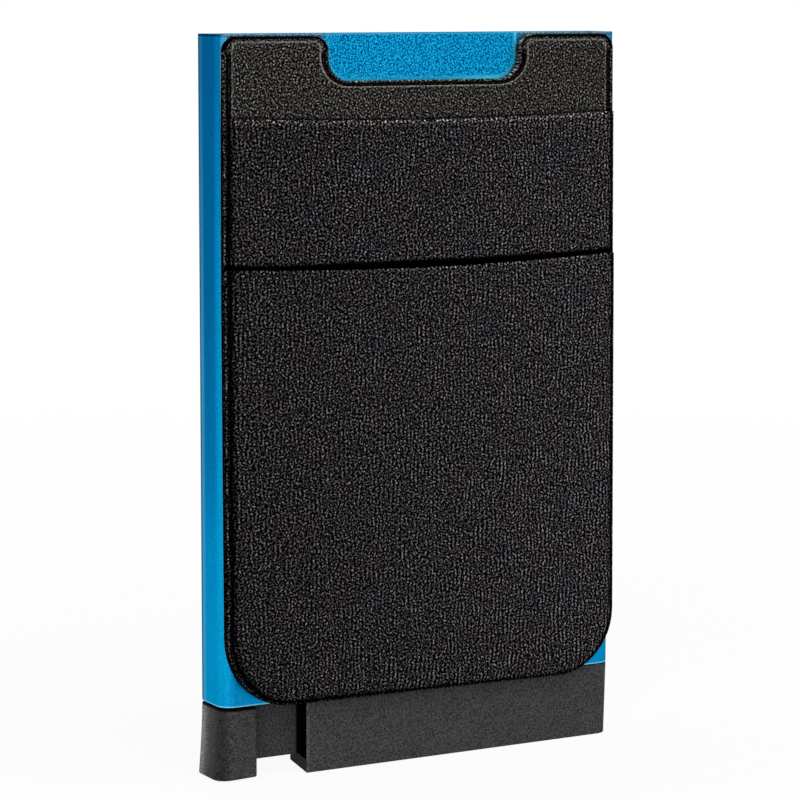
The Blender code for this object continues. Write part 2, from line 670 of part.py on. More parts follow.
def build():
    """Make every piece with its own material."""
    blue = new_material("blue_anodised", (0.0, 0.27, 0.55), 0.38, 0.85)
    black_base = new_material("black_base_plastic", (0.035, 0.033, 0.033), 0.62, 0.0)
    black_lever = new_material("black_lever_plastic", (0.038, 0.035, 0.034), 0.6, 0.0)
    steel = new_material("pin_steel", (0.55, 0.55, 0.56), 0.3, 1.0)
    rail_plastic = new_material("guide_plastic", (0.03, 0.03, 0.032), 0.5, 0.0)
    felt = new_material("grey_felt", (0.06, 0.06, 0.065), 0.95, 0.0)
    tape = new_material("clear_tape", (0.7, 0.7, 0.66), 0.4, 0.0)
    foam = new_material("adhesive_foam", (0.25, 0.25, 0.25), 0.8, 0.0)
    leather = new_material("backing_leather", (0.045, 0.04, 0.036), 0.75, 0.0)
    knit = new_material("elastic_knit", (0.022, 0.02, 0.021), 0.9, 0.0)
    film = new_material("bond_film", (0.6, 0.6, 0.58), 0.35, 0.0)
    case_sleeve(blue)
    base_block(black_base)
    ejector_lever(black_lever)
    pivot_pin(steel)
    for word, side in (("left", -1), ("right", 1)):
        guide_rail("guide_rail_" + word, side, rail_plastic)
        friction_strip("friction_strip_" + word, side, felt)
        strip_tape("strip_tape_" + word, side, tape)
    adhesive_pad(foam)
    pocket_backing(leather)
    bond_film("mid_bond_film", MID_MOUTH_Z - FILM_WIDTH, MID_FILM_FRONT_Y, MID_FILM_BACK_Y, film)
    bond_film("front_bond_film", FRONT_MOUTH_Z - FILM_WIDTH, FRONT_FILM_FRONT_Y, FRONT_FILM_BACK_Y, film)
    elastic_panel("pocket_mid_panel", MID_PANEL_BACK_Y, MID_MOUTH_Z, MID_MOUTH_SAG,
                  FRONT_MOUTH_Z + MOUTH_GAP, knit)
    elastic_panel("pocket_front_panel", FRONT_PANEL_BACK_Y, FRONT_MOUTH_Z, FRONT_MOUTH_SAG, None, knit)


clear_scene()
PARTS = new_collection(PART_NAME)
build()
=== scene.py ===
"""Pop up card holder: how it looks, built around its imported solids.
Metres, +Z up, pocket side towards -Y. The materials measure in millimetres."""
import math
from types import SimpleNamespace

import bpy
import numpy as np
from mathutils import Matrix, Vector


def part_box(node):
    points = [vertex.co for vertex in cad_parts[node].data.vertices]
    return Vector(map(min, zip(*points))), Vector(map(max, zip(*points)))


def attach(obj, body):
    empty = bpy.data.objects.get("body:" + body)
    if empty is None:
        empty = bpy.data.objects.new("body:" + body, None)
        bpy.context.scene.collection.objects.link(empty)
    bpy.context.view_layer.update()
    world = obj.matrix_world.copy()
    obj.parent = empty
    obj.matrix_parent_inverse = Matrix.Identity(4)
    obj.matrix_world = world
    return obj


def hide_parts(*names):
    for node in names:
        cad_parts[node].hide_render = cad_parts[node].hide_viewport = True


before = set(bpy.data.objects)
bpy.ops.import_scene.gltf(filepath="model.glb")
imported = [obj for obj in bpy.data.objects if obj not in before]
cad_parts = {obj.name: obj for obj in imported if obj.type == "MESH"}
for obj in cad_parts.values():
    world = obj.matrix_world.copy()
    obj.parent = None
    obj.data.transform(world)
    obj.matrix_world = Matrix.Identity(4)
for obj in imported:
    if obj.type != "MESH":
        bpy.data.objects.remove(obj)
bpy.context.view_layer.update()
MM = 0.001

# Sleeve, in millimetres for the materials
SLEEVE_TOP_MM = 102.0
SLEEVE_FOOT_MM = 10.5

# Pocket outline, seen from the front
POCKET_LEFT = -31.35 * MM
LEFT_BOW = 0.18 * MM
LEFT_BOW_MIDDLE = 66.0 * MM
LEFT_BOW_REACH = 36.0 * MM
LEFT_BOW_POINTS = (86.0 * MM, 66.0 * MM, 44.0 * MM)
POCKET_RIGHT_TOP = 30.2 * MM
POCKET_RIGHT_LOW = 30.9 * MM
POCKET_RIGHT = (POCKET_RIGHT_TOP + POCKET_RIGHT_LOW) / 2
POCKET_TOP = 101.7 * MM
POCKET_LOW_LEFT = 10.2 * MM
POCKET_LOW_RIGHT = 9.7 * MM
POCKET_MIDDLE = (POCKET_LEFT + POCKET_RIGHT) / 2
POCKET_HALF = (POCKET_RIGHT - POCKET_LEFT) / 2
LOW_LEFT_CORNER = 10.0 * MM
LOW_RIGHT_CORNER = 9.2 * MM
TOP_CORNER = 2.0 * MM
NOTCH_HALF = 15.02 * MM
NOTCH_FLOOR = POCKET_TOP - 6.1 * MM
NOTCH_MOUTH_CORNER = 2.0 * MM
NOTCH_FLOOR_CORNER = 3.2 * MM
CORNER_STEPS = 12

# Layers of the pocket, from the case outwards
PAD_BACK = -4.05 * MM
PAD_FRONT = -4.30 * MM
PAD_INSET = 0.1 * MM
BACKING_BACK = -4.35 * MM
BACKING_EDGE_FRONT = -4.72 * MM
SIDE_BORDER_SHARE = 0.6
BACKING_PROFILE = ((0.05, 0.11), (0.08, 0.08), (0.12, 0.02), (0.10, -0.07), (0.20, -0.06), (0.18, 0.02),
                   (0.10, 0.08), (0.12, 0.05), (0.15, 0.0), (0.20, -0.02), (0.35, 0.0))

# Elastic panels
PANEL_INSET = 0.15 * MM
PANEL_LOW_LEFT = POCKET_LOW_LEFT + PANEL_INSET
PANEL_LOW_RIGHT = POCKET_LOW_RIGHT + PANEL_INSET
MID_MOUTH = 90.75 * MM
MID_SAG = 0.65 * MM
FRONT_MOUTH = 70.6 * MM
FRONT_SAG = 0.8 * MM
KNIT_THICKNESS = 0.22 * MM
HEM_LENGTH = 5.0 * MM
HEM_ROWS = 6
FOLD_STEPS = 6
PANEL_COLUMNS = 60
COARSE_ROW = 1.0 * MM
FINE_ROW = 0.16 * MM
FINE_AT_MOUTH = 1.2 * MM
LAST_ROW_ABOVE_CORNERS = 0.2 * MM
ROWS_END_ABOVE_CORNERS = 0.3 * MM
MID_FINE_ROWS = (69.0 * MM, 73.5 * MM)
FRONT_FINE_ROWS = (69.0 * MM, 72.0 * MM)

# A panel's rim, in millimetres from its side: its points, and where it turns from pressed to free
RIM_STEPS = [0.0, 0.1, 0.28, 0.45, 0.6, 0.75, 0.92, 1.15, 1.45, 1.85, 2.4]
PRESSED_WIDTH_MM = 0.7
UNPRESSED_WIDTH_MM = 1.6
RIM_RISES_MM = (0.45, 1.7)
FRONT_LOOSENS_MM = (0.8, 6.0)
MID_LOOSENS_MM = (0.6, 4.0)
PRESSED_FOLD_MM = 0.035
FREE_FOLD_ADDS_MM = 0.095

# How far the panels stand out towards -Y and how slack they are, in millimetres
FRONT_STANDS_MM = 5.45
FRONT_RIM_RISE_MM = 0.36
FRONT_SLACK_LOW_MM = 0.14
FRONT_SLACK_MOUTH_MM = 0.36
FRONT_SLACK_REACH_MM = 16.0
MID_STANDS_MM = 5.19
MID_RIM_RISE_MM = 0.17
MID_SLACK_MM = 0.12
MID_ROLL_MM = 0.62
MID_ROLL_REACH_MM = 5.5
SLIT_HEIGHT_MM = 0.85

# Felt strips
FELT_SLICES = 25
FELT_EDGE = 0.18 * MM


def deselect_all():
    """Leave nothing selected."""
    if bpy.context.mode != "OBJECT":
        bpy.ops.object.mode_set(mode="OBJECT")
    bpy.ops.object.select_all(action="DESELECT")


def pick(piece, kind, test):
    """Go into edit mode with only the parts that the test accepts selected."""
    bpy.ops.object.mode_set(mode="EDIT")
    bpy.ops.mesh.select_mode(type=kind)
    bpy.ops.mesh.select_all(action="DESELECT")
    bpy.ops.object.mode_set(mode="OBJECT")
    parts = {"VERT": piece.data.vertices, "FACE": piece.data.polygons}[kind]
    for part in parts:
        part.select = bool(test(part))
    bpy.ops.object.mode_set(mode="EDIT")


def finish_piece(piece, name, material, body, smooth_angle=40.0):
    """Put the piece's place in its mesh, shade it, and give it its name, finish and body."""
    deselect_all()
    piece.select_set(True)
    bpy.context.view_layer.objects.active = piece
    bpy.ops.object.transform_apply(location=True, rotation=True, scale=True)
    bpy.ops.object.shade_smooth_by_angle(angle=math.radians(smooth_angle))
    piece.name = name
    piece.data.name = name
    piece.data.materials.clear()
    piece.data.materials.append(material)
    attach(piece, body)
    return piece


def left_edge(z):
    """The pocket's left side at a height: it bows out a little in the middle."""
    return POCKET_LEFT - LEFT_BOW * max(0.0, 1 - ((z - LEFT_BOW_MIDDLE) / LEFT_BOW_REACH) ** 2)


def right_edge(z):
    """The pocket's right side at a height: it stands a little wider towards the bottom."""
    share = (z - POCKET_LOW_RIGHT) / (POCKET_TOP - POCKET_LOW_RIGHT)
    return POCKET_RIGHT_LOW + (POCKET_RIGHT_TOP - POCKET_RIGHT_LOW) * share


def notched_outline(inset):
    """The backing's outline as points in X and Z, pulled in by the inset."""
    def arc(x, z, radius, start, end):
        steps = np.radians(np.linspace(start, end, CORNER_STEPS + 1))
        return [(x + radius * math.cos(a), z + radius * math.sin(a)) for a in steps]

    left, top = POCKET_LEFT + inset, POCKET_TOP - inset
    right_low, right_top = POCKET_RIGHT_LOW - inset, POCKET_RIGHT_TOP - inset
    low_left, low_right, corner = LOW_LEFT_CORNER - inset, LOW_RIGHT_CORNER - inset, TOP_CORNER - inset
    mouth, inner = NOTCH_MOUTH_CORNER - inset, NOTCH_FLOOR_CORNER + inset
    notch_left = POCKET_MIDDLE - NOTCH_HALF - inset
    notch_right = POCKET_MIDDLE + NOTCH_HALF + inset
    floor = NOTCH_FLOOR - inset
    points = arc(left + low_left, POCKET_LOW_LEFT + inset + low_left, low_left, 180, 270)
    points += arc(right_low - low_right, POCKET_LOW_RIGHT + inset + low_right, low_right, 270, 360)
    points += arc(right_top - corner, top - corner, corner, 0, 90)
    points += arc(notch_right + mouth, top - mouth, mouth, 90, 180)
    points += arc(notch_right - inner, floor + inner, inner, 360, 270)
    points += arc(notch_left + inner, floor + inner, inner, 270, 180)
    points += arc(notch_left - mouth, top - mouth, mouth, 0, 90)
    points += arc(left + corner, top - corner, corner, 90, 180)
    return points + [(left_edge(z) + inset, z) for z in LEFT_BOW_POINTS]


def mark_edge_distance(piece, outline):
    """Keep each point's distance from the outline in millimetres, less across, where the border is wide."""
    squeeze = (SIDE_BORDER_SHARE, 1.0)
    ends = np.array(outline) * squeeze
    starts = np.roll(ends, 1, axis=0)
    along = ends - starts
    length_squared = np.maximum((along ** 2).sum(1), 1e-14)
    points = np.array([(v.co.x, v.co.z) for v in piece.data.vertices]) * squeeze
    share = ((points[:, None] - starts) * along).sum(2) / length_squared
    nearest = starts + np.clip(share, 0, 1)[:, :, None] * along
    distance = np.sqrt(((points[:, None] - nearest) ** 2).sum(2)).min(1) / MM
    layer = piece.data.attributes.new("edge_distance", "FLOAT", "POINT")
    layer.data.foreach_set("value", distance.astype(np.float32))


def notched_plate(inset, back, front):
    """A plate with the pocket's outline and thumb notch: a plane cut, rounded and extruded."""
    left, right, top = POCKET_LEFT + inset, POCKET_RIGHT_LOW - inset, POCKET_TOP - inset
    low_left, low_right = POCKET_LOW_LEFT + inset, POCKET_LOW_RIGHT + inset
    notch_left = POCKET_MIDDLE - NOTCH_HALF - inset
    notch_right = POCKET_MIDDLE + NOTCH_HALF + inset
    floor = NOTCH_FLOOR - inset
    near, very_near = MM, MM / 10

    def from_middle(v):
        return abs(v.co.x - POCKET_MIDDLE)

    deselect_all()
    bpy.ops.mesh.primitive_plane_add(size=1.0, rotation=(math.radians(90.0), 0.0, 0.0),
                                     location=((left + right) / 2, back, (top + low_left) / 2))
    plate = bpy.context.active_object
    plate.scale = (right - left, top - low_left, 1.0)
    bpy.ops.object.transform_apply(location=True, rotation=True, scale=True)
    bpy.ops.object.mode_set(mode="EDIT")
    cuts = [((notch_left, 0, 0), (1, 0, 0)), ((notch_right, 0, 0), (1, 0, 0)), ((0, 0, floor), (0, 0, 1))]
    cuts += [((0, 0, z), (0, 0, 1)) for z in LEFT_BOW_POINTS]
    for place, normal in cuts:
        bpy.ops.mesh.select_all(action="SELECT")
        bpy.ops.mesh.bisect(plane_co=place, plane_no=normal)
    pick(plate, "FACE", lambda face: face.center.z > floor and notch_left < face.center.x < notch_right)
    bpy.ops.mesh.delete(type="FACE")
    bpy.ops.mesh.select_all(action="SELECT")
    bpy.ops.mesh.dissolve_faces(use_verts=False)
    pick(plate, "VERT", lambda v: v.co.z < low_left + near and from_middle(v) < POCKET_HALF / 2
         or abs(v.co.z - floor) < near and from_middle(v) > POCKET_HALF - near)
    bpy.ops.mesh.dissolve_verts()
    pick(plate, "VERT", lambda v: v.co.x > right - near and v.co.z < low_left + near)
    bpy.ops.transform.translate(value=(0.0, 0.0, low_right - low_left))
    bpy.ops.object.mode_set(mode="OBJECT")
    for v in plate.data.vertices:
        if v.co.x < left + near:
            v.co.x = left_edge(v.co.z) + inset
        elif v.co.x > right - near:
            v.co.x = right_edge(v.co.z) - inset
    corners = (
        (LOW_LEFT_CORNER - inset, lambda v: v.co.z < low_left + near and v.co.x < left + near),
        (LOW_RIGHT_CORNER - inset, lambda v: v.co.z < low_left + near and v.co.x > right - near),
        (TOP_CORNER - inset, lambda v: v.co.z > top - near and from_middle(v) > POCKET_HALF - near),
        (NOTCH_MOUTH_CORNER - inset,
         lambda v: v.co.z > top - very_near and from_middle(v) < NOTCH_HALF + 2 * near),
        (NOTCH_FLOOR_CORNER + inset, lambda v: abs(v.co.z - floor) < very_near),
    )
    for radius, test in corners:
        pick(plate, "VERT", test)
        bpy.ops.mesh.bevel(offset=radius, segments=CORNER_STEPS, affect="VERTICES", profile=0.5)
    bpy.ops.mesh.select_mode(type="FACE")
    bpy.ops.mesh.select_all(action="SELECT")
    bpy.ops.mesh.extrude_region_move(TRANSFORM_OT_translate={"value": (0.0, front - back, 0.0)})
    return plate


def leather_backing(material):
    """The backing sheet: rounded edge, pressed groove and a soft ridge before its flat field."""
    plate = notched_plate(0.0, BACKING_BACK, BACKING_EDGE_FRONT)
    for width, rise in BACKING_PROFILE:
        bpy.ops.mesh.inset(thickness=width * MM, depth=rise * MM, use_even_offset=True)
    deselect_all()
    mark_edge_distance(plate, notched_outline(0.0))
    finish_piece(plate, "leather_backing", material, "case", 60.0)
    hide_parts("pocket_backing")


def adhesive_sheet(material):
    """The double-sided foam sheet that sticks the pocket to the case."""
    plate = notched_plate(PAD_INSET, PAD_BACK, PAD_FRONT)
    finish_piece(plate, "adhesive_sheet", material, "case")
    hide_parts("adhesive_pad")


def smooth_step(value, low, high):
    """0 below low, 1 above high, smooth between."""
    share = np.clip((np.asarray(value, float) - low) / (high - low), 0.0, 1.0)
    return share * share * (3 - 2 * share)


def crown(x):
    """1 at the pocket's middle, 0 at its sides, as a sheet bulges between them."""
    return np.clip(1 - ((x - POCKET_MIDDLE) / POCKET_HALF) ** 2, 0, 1)


def lip_height(mouth, sag, x):
    """The height of a sagging mouth at a place across."""
    return mouth - sag * crown(x)


def front_height(x, z, edge):
    """How far the front panel's middle surface stands towards -Y, in millimetres."""
    drop = np.clip((FRONT_MOUTH - z) / MM, 0, None)
    slack = FRONT_SLACK_LOW_MM + FRONT_SLACK_MOUTH_MM * np.exp(-drop / FRONT_SLACK_REACH_MM)
    waves = 0.03 * np.sin(x / MM * 0.21 + 1.3) * np.sin(z / MM * 0.16 + 0.4)
    rise = FRONT_RIM_RISE_MM * smooth_step(edge, *RIM_RISES_MM)
    return FRONT_STANDS_MM + rise + (slack * crown(x) + waves) * smooth_step(edge, *FRONT_LOOSENS_MM)


def mid_height(x, z, edge):
    """How far the middle panel's middle surface stands towards -Y, in millimetres."""
    above = (z - lip_height(FRONT_MOUTH, FRONT_SAG, x)) / MM
    showing = smooth_step(above, SLIT_HEIGHT_MM - 0.45, SLIT_HEIGHT_MM + 0.1)
    fade = np.exp(-np.clip(above - SLIT_HEIGHT_MM, 0, None) / MID_ROLL_REACH_MM)
    roll = MID_ROLL_MM * crown(x) ** 0.6 * fade
    slack = MID_SLACK_MM * crown(x) * smooth_step((MID_MOUTH - z) / MM, 0.0, 9.0)
    waves = 0.025 * np.sin(x / MM * 0.19 + 0.5) * np.sin(z / MM * 0.23 + 2.0)
    rise = MID_RIM_RISE_MM * smooth_step(edge, *RIM_RISES_MM)
    loose = smooth_step(edge, *MID_LOOSENS_MM)
    return MID_STANDS_MM + rise * showing + (roll + slack + waves) * showing * loose


def painted_side_light(x):
    """Painted light: the yarn is painted a little lighter towards the pocket's right side, where more light
    falls.
    """
    return 0.98 + 0.17 * (x - POCKET_MIDDLE) / POCKET_HALF


def front_painted_light(x, z):
    """Painted light on the front panel's yarn: a painted highlight along its lip, where the folded hem
    catches the light from above, and the painted side light.
    """
    below = (lip_height(FRONT_MOUTH, FRONT_SAG, x) - z) / MM
    # Painted highlight along the lip, fading out towards the left.
    lip_highlight = 0.9 * smooth_step(x / POCKET_HALF, -0.9, 0.1)
    return (1 + lip_highlight * (1 - smooth_step(below, 0.1, 0.35))) * painted_side_light(x)


def mid_painted_light(x, z):
    """Painted light on the middle panel's yarn: a painted highlight at its mouth, painted shade near black
    inside the slit above the front panel's lip, and the painted side light.
    """
    below = (lip_height(MID_MOUTH, MID_SAG, x) - z) / MM
    above = (z - lip_height(FRONT_MOUTH, FRONT_SAG, x)) / MM
    # Painted shade: the slit above the front panel's lip is painted near black.
    gap = SLIT_HEIGHT_MM - 0.1 + 0.4 * crown(x) * smooth_step(x / MM, -27.0, -14.0)
    slit = smooth_step(above, gap - 0.08, gap + 0.25)
    return (1 + 1.5 * (1 - smooth_step(below, 0.3, 0.65))) * (0.02 + 0.98 * slit) * painted_side_light(x)


def row_levels(mouth, arc_top, fine_rows):
    """Heights of a panel's rows from its mouth to its low corners, finer at the mouth and the slit."""
    levels = [mouth]
    while levels[-1] > arc_top + ROWS_END_ABOVE_CORNERS:
        fine = fine_rows[0] < levels[-1] < fine_rows[1] or levels[-1] > mouth - FINE_AT_MOUTH
        step = FINE_ROW if fine else COARSE_ROW
        levels.append(max(levels[-1] - step, arc_top + LAST_ROW_ABOVE_CORNERS))
    return levels


def between(start, end, column):
    """The place of an inner column between two points of x and z."""
    share = column / PANEL_COLUMNS
    return start[0] + (end[0] - start[0]) * share, start[1] + (end[1] - start[1]) * share


def panel_grid(mouth, sag, fine_rows):
    """A panel's points in X and Z, row by row from its mouth down, and their distances from its edge."""
    rim = np.array(RIM_STEPS) * MM
    radius = {"left": LOW_LEFT_CORNER - PANEL_INSET, "right": LOW_RIGHT_CORNER - PANEL_INSET}
    tops = {"left": PANEL_LOW_LEFT + radius["left"], "right": PANEL_LOW_RIGHT + radius["right"]}
    arc_top = max(tops.values())
    centres = {"left": (POCKET_LEFT + radius["left"], tops["left"]),
               "right": (right_edge(tops["right"]) - PANEL_INSET - radius["right"], tops["right"])}
    angles = np.radians(np.linspace(0.0, 90.0, CORNER_STEPS + 1))
    levels = row_levels(mouth, arc_top, fine_rows)

    def side_points(row, side):
        """Rim points of one row, from the outline inwards: x, z and the distance in."""
        sign = -1 if side == "left" else 1
        centre = centres[side]
        if row < len(levels):
            share = (mouth - levels[row]) / (mouth - arc_top)
            z = mouth + (centre[1] - mouth) * share
            outer = left_edge(z) if side == "left" else right_edge(z) - PANEL_INSET
            return [(outer - sign * d, z, d) for d in rim]
        angle = angles[row - len(levels) + 1]
        return [(centre[0] + sign * (radius[side] - d) * math.cos(angle),
                 centre[1] - (radius[side] - d) * math.sin(angle), d) for d in rim]

    grid = []
    for row in range(len(levels) + CORNER_STEPS):
        left, right = side_points(row, "left"), side_points(row, "right")
        inside = [(*between(left[-1], right[-1], column), None) for column in range(1, PANEL_COLUMNS)]
        grid.append(left + inside + right[::-1])
    table = np.array([[(x, z) for x, z, _ in row] for row in grid])
    hang = np.clip((table[:, :, 1] - arc_top) / (mouth - arc_top), 0, 1)
    table[:, :, 1] -= sag * crown(table[:, :, 0]) * hang
    edge = np.array([[d / MM if d is not None else -1.0 for _, _, d in row] for row in grid])
    lowest = min(PANEL_LOW_LEFT, PANEL_LOW_RIGHT)
    for row, column in np.argwhere(edge < 0):
        x, z = table[row, column]
        to_side = min(x - table[row, 0, 0], table[row, -1, 0] - x)
        edge[row, column] = max(rim[-1], min(to_side, z - lowest)) / MM
    return table, edge


def folded_rows(table, edge, height):
    """Rows of x, y in millimetres, z and edge distance, with the hem folded in behind the panel's mouth."""
    forward = height(table[:, :, 0], table[:, :, 1], edge)
    free = smooth_step(edge[0], PRESSED_WIDTH_MM, UNPRESSED_WIDTH_MM)
    fold = PRESSED_FOLD_MM + FREE_FOLD_ADDS_MM * free
    x, z_mouth = table[0, :, 0], table[0, :, 1]
    rows = []
    for number in range(HEM_ROWS):
        z = z_mouth - fold * MM - HEM_LENGTH * (1 - number / HEM_ROWS)
        rows.append((x, height(x, z, edge[0]) - 2 * fold, z, edge[0]))
    for number in range(FOLD_STEPS + 1):
        angle = math.pi * (1 - number / FOLD_STEPS)
        z = z_mouth - fold * MM + fold * MM * math.sin(angle)
        rows.append((x, forward[0] - fold * (1 - math.cos(angle)), z, edge[0]))
    for row in range(1, len(table)):
        rows.append((table[row, :, 0], forward[row], table[row, :, 1], edge[row]))
    return rows


def panel_surface(rows, height):
    """Points, faces and edge distances of a panel: its rows, and its low rim drawn in to the outline."""
    points, faces, edges, index = [], [], [], []
    columns = len(rows[0][0])
    for x, y, z, edge in rows:
        start = len(points)
        points += [(a, -b * MM, c) for a, b, c in zip(x, y, z)]
        edges += list(edge)
        index.append(list(range(start, start + columns)))
    for upper, lower in zip(index[:-1], index[1:]):
        for column in range(columns - 1):
            faces.append((upper[column], lower[column], lower[column + 1], upper[column + 1]))
    last = len(RIM_STEPS) - 1
    previous = index[-1][last:columns - last]
    for step in range(last - 1, -1, -1):
        first, final = index[-1][step], index[-1][columns - 1 - step]
        here = [first]
        for column in range(1, PANEL_COLUMNS):
            x, z = between(points[first][::2], points[final][::2], column)
            y = height(np.array(x), np.array(z), np.array(RIM_STEPS[step]))
            here.append(len(points))
            points.append((x, -float(y) * MM, z))
            edges.append(RIM_STEPS[step])
        here.append(final)
        for column in range(PANEL_COLUMNS):
            faces.append((previous[column], here[column], here[column + 1], previous[column + 1]))
        previous = here
    return points, faces, edges


def border_distance(distance, x, z):
    """The edge distance that the pressed border and its painted groove shade use: it is narrower at the right
    and at the bottom.
    """
    to_right = smooth_step(x / POCKET_HALF, -0.6, 0.9)
    to_bottom = 1 - smooth_step(z / MM, 10.5, 13.5)
    return distance * (1 + 1.1 * to_right + 0.9 * to_bottom)


def knit_panel(name, mouth, sag, fine_rows, height, painted_light, material):
    """An elastic knit sheet on the pocket's outline, folded in along its mouth."""
    table, edge = panel_grid(mouth, sag, fine_rows)
    points, faces, edges = panel_surface(folded_rows(table, edge, height), height)
    mesh = bpy.data.meshes.new(name)
    mesh.from_pydata(points, [], faces)
    panel = bpy.data.objects.new(name, mesh)
    bpy.context.scene.collection.objects.link(panel)
    border = [float(border_distance(d, x, z)) for d, (x, _, z) in zip(edges, points)]
    # Painted light kept at each point: highlights at the mouths, near black shade in the slit, lighter to the
    # right.
    shade = [float(painted_light(x, z)) for x, _, z in points]
    for layer_name, values in (("edge_distance", border), ("painted_light", shade)):
        layer = mesh.attributes.new(layer_name, "FLOAT", "POINT")
        layer.data.foreach_set("value", np.array(values, np.float32))
    group = panel.vertex_groups.new(name="unpressed")
    for number, distance in enumerate(edges):
        share = 0.5 + 0.5 * smooth_step(distance, PRESSED_WIDTH_MM, UNPRESSED_WIDTH_MM)
        group.add([number], float(share), "REPLACE")
    deselect_all()
    panel.select_set(True)
    bpy.context.view_layer.objects.active = panel
    thickness = panel.modifiers.new("thickness", "SOLIDIFY")
    thickness.thickness = KNIT_THICKNESS
    thickness.offset = 0.0
    thickness.vertex_group = "unpressed"
    bpy.ops.object.modifier_apply(modifier=thickness.name)
    return finish_piece(panel, name, material, "case", 80.0)


def felt_strip(name, node, material):
    """A friction strip with rounded felt edges."""
    low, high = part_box(node)
    deselect_all()
    bpy.ops.mesh.primitive_cube_add(size=1.0, location=(low + high) / 2)
    strip = bpy.context.active_object
    strip.scale = high - low
    bpy.ops.object.transform_apply(location=True, rotation=True, scale=True)
    bpy.ops.object.mode_set(mode="EDIT")
    for step in range(1, FELT_SLICES):
        cut = low.z + (high.z - low.z) * step / FELT_SLICES
        bpy.ops.mesh.select_all(action="SELECT")
        bpy.ops.mesh.bisect(plane_co=(0, 0, cut), plane_no=(0, 0, 1))
    bpy.ops.object.mode_set(mode="OBJECT")
    rounding = strip.modifiers.new("rounding", "BEVEL")
    rounding.width = FELT_EDGE
    rounding.segments = 3
    bpy.ops.object.modifier_apply(modifier=rounding.name)
    finish_piece(strip, name, material, "case")
    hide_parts(node)


def start_material(name, roughness, metallic=0.0, specular=0.5):
    """A Principled material, with its object coordinates in millimetres."""
    material = bpy.data.materials.new(name)
    material.use_nodes = True
    tree = material.node_tree
    shader = tree.nodes["Principled BSDF"]
    shader.inputs["Roughness"].default_value = roughness
    shader.inputs["Metallic"].default_value = metallic
    shader.inputs["Specular IOR Level"].default_value = specular
    place = tree.nodes.new("ShaderNodeTexCoord")
    to_mm = tree.nodes.new("ShaderNodeVectorMath")
    to_mm.operation = "SCALE"
    to_mm.inputs["Scale"].default_value = 1 / MM
    tree.links.new(place.outputs["Object"], to_mm.inputs[0])
    return material, tree, shader, to_mm.outputs["Vector"]


def noise(tree, place, scale, detail=2.0, roughness=0.5, distortion=0.0):
    """Noise whose scale is in cells a millimetre."""
    node = tree.nodes.new("ShaderNodeTexNoise")
    node.inputs["Scale"].default_value = scale
    node.inputs["Detail"].default_value = detail
    node.inputs["Roughness"].default_value = roughness
    node.inputs["Distortion"].default_value = distortion
    tree.links.new(place, node.inputs["Vector"])
    return node.outputs["Fac"]


def maths(tree, operation, *values):
    """One Math node of sockets and numbers."""
    node = tree.nodes.new("ShaderNodeMath")
    node.operation = operation
    for socket, value in zip(node.inputs, values):
        if isinstance(value, (int, float)):
            socket.default_value = value
        else:
            tree.links.new(value, socket)
    return node.outputs["Value"]


def times(tree, first, *others):
    """The product of sockets and numbers."""
    for other in others:
        first = maths(tree, "MULTIPLY", first, other)
    return first


def ramp(tree, value, stops):
    """A colour ramp through the stops, each a place and a grey or a colour."""
    node = tree.nodes.new("ShaderNodeValToRGB")
    elements = node.color_ramp.elements
    while len(elements) < len(stops):
        elements.new(0.5)
    for element, (place, colour) in zip(elements, stops):
        element.position = place
        colour = (colour,) * 3 if isinstance(colour, float) else colour
        element.color = (*colour, 1.0)
    tree.links.new(value, node.inputs["Fac"])
    return node.outputs["Color"]


def ramp_over(tree, value, start, end, stops):
    """A colour ramp over a measure that runs from start to end, its stops being places on that measure."""
    scale = 1 / (end - start)
    share = maths(tree, "MULTIPLY_ADD", value, scale, -start * scale)
    return ramp(tree, share, [((place - start) * scale, colour) for place, colour in stops])


def across_ramp(tree, across, stops):
    """A ramp over X in millimetres, or over a distance across."""
    return ramp_over(tree, across, 0.0, 50.0, stops)


def depth_ramp(tree, y, stops):
    """A ramp over Y in millimetres, its stops listed from the rear to the front."""
    return ramp_over(tree, y, 5.0, -5.0, stops)


def height_ramp(tree, z, stops):
    """A ramp over Z in millimetres."""
    return ramp_over(tree, z, 0.0, 100.0, stops)


def blend_colour(tree, mode, share, first, second):
    """A colour mix of sockets and colours."""
    node = tree.nodes.new("ShaderNodeMix")
    node.data_type = "RGBA"
    node.blend_type = mode
    for socket, value in ((node.inputs["Factor"], share), (node.inputs[6], first), (node.inputs[7], second)):
        if isinstance(value, (int, float)):
            socket.default_value = value
        elif isinstance(value, tuple):
            socket.default_value = (*value, 1.0)
        else:
            tree.links.new(value, socket)
    return node.outputs[2]


def dim(tree, colour, shade):
    """A colour multiplied by a shade."""
    return blend_colour(tree, "MULTIPLY", 1.0, colour, shade)


def scale_colour(tree, colour, factor):
    """A colour scaled by a value, which may be over 1."""
    node = tree.nodes.new("ShaderNodeVectorMath")
    node.operation = "SCALE"
    tree.links.new(colour, node.inputs[0])
    tree.links.new(factor, node.inputs["Scale"])
    return node.outputs["Vector"]


def relief(tree, shader, height, strength, distance):
    """Bump from a height, its distance in millimetres."""
    node = tree.nodes.new("ShaderNodeBump")
    node.inputs["Strength"].default_value = strength
    node.inputs["Distance"].default_value = distance * MM
    tree.links.new(height, node.inputs["Height"])
    tree.links.new(node.outputs["Normal"], shader.inputs["Normal"])


def separate(tree, vector):
    """The X, Y and Z of a vector."""
    node = tree.nodes.new("ShaderNodeSeparateXYZ")
    tree.links.new(vector, node.inputs["Vector"])
    return node.outputs


def combine(tree, **axes):
    """A vector of the given axes, the others being 0."""
    node = tree.nodes.new("ShaderNodeCombineXYZ")
    for axis, value in axes.items():
        tree.links.new(value, node.inputs[axis])
    return node.outputs["Vector"]


def length(tree, vector):
    """The length of a vector."""
    node = tree.nodes.new("ShaderNodeVectorMath")
    node.operation = "LENGTH"
    tree.links.new(vector, node.inputs[0])
    return node.outputs["Value"]


def read_attribute(tree, name):
    """A number that the piece's mesh carries at each point."""
    node = tree.nodes.new("ShaderNodeAttribute")
    node.attribute_name = name
    return node.outputs["Fac"]


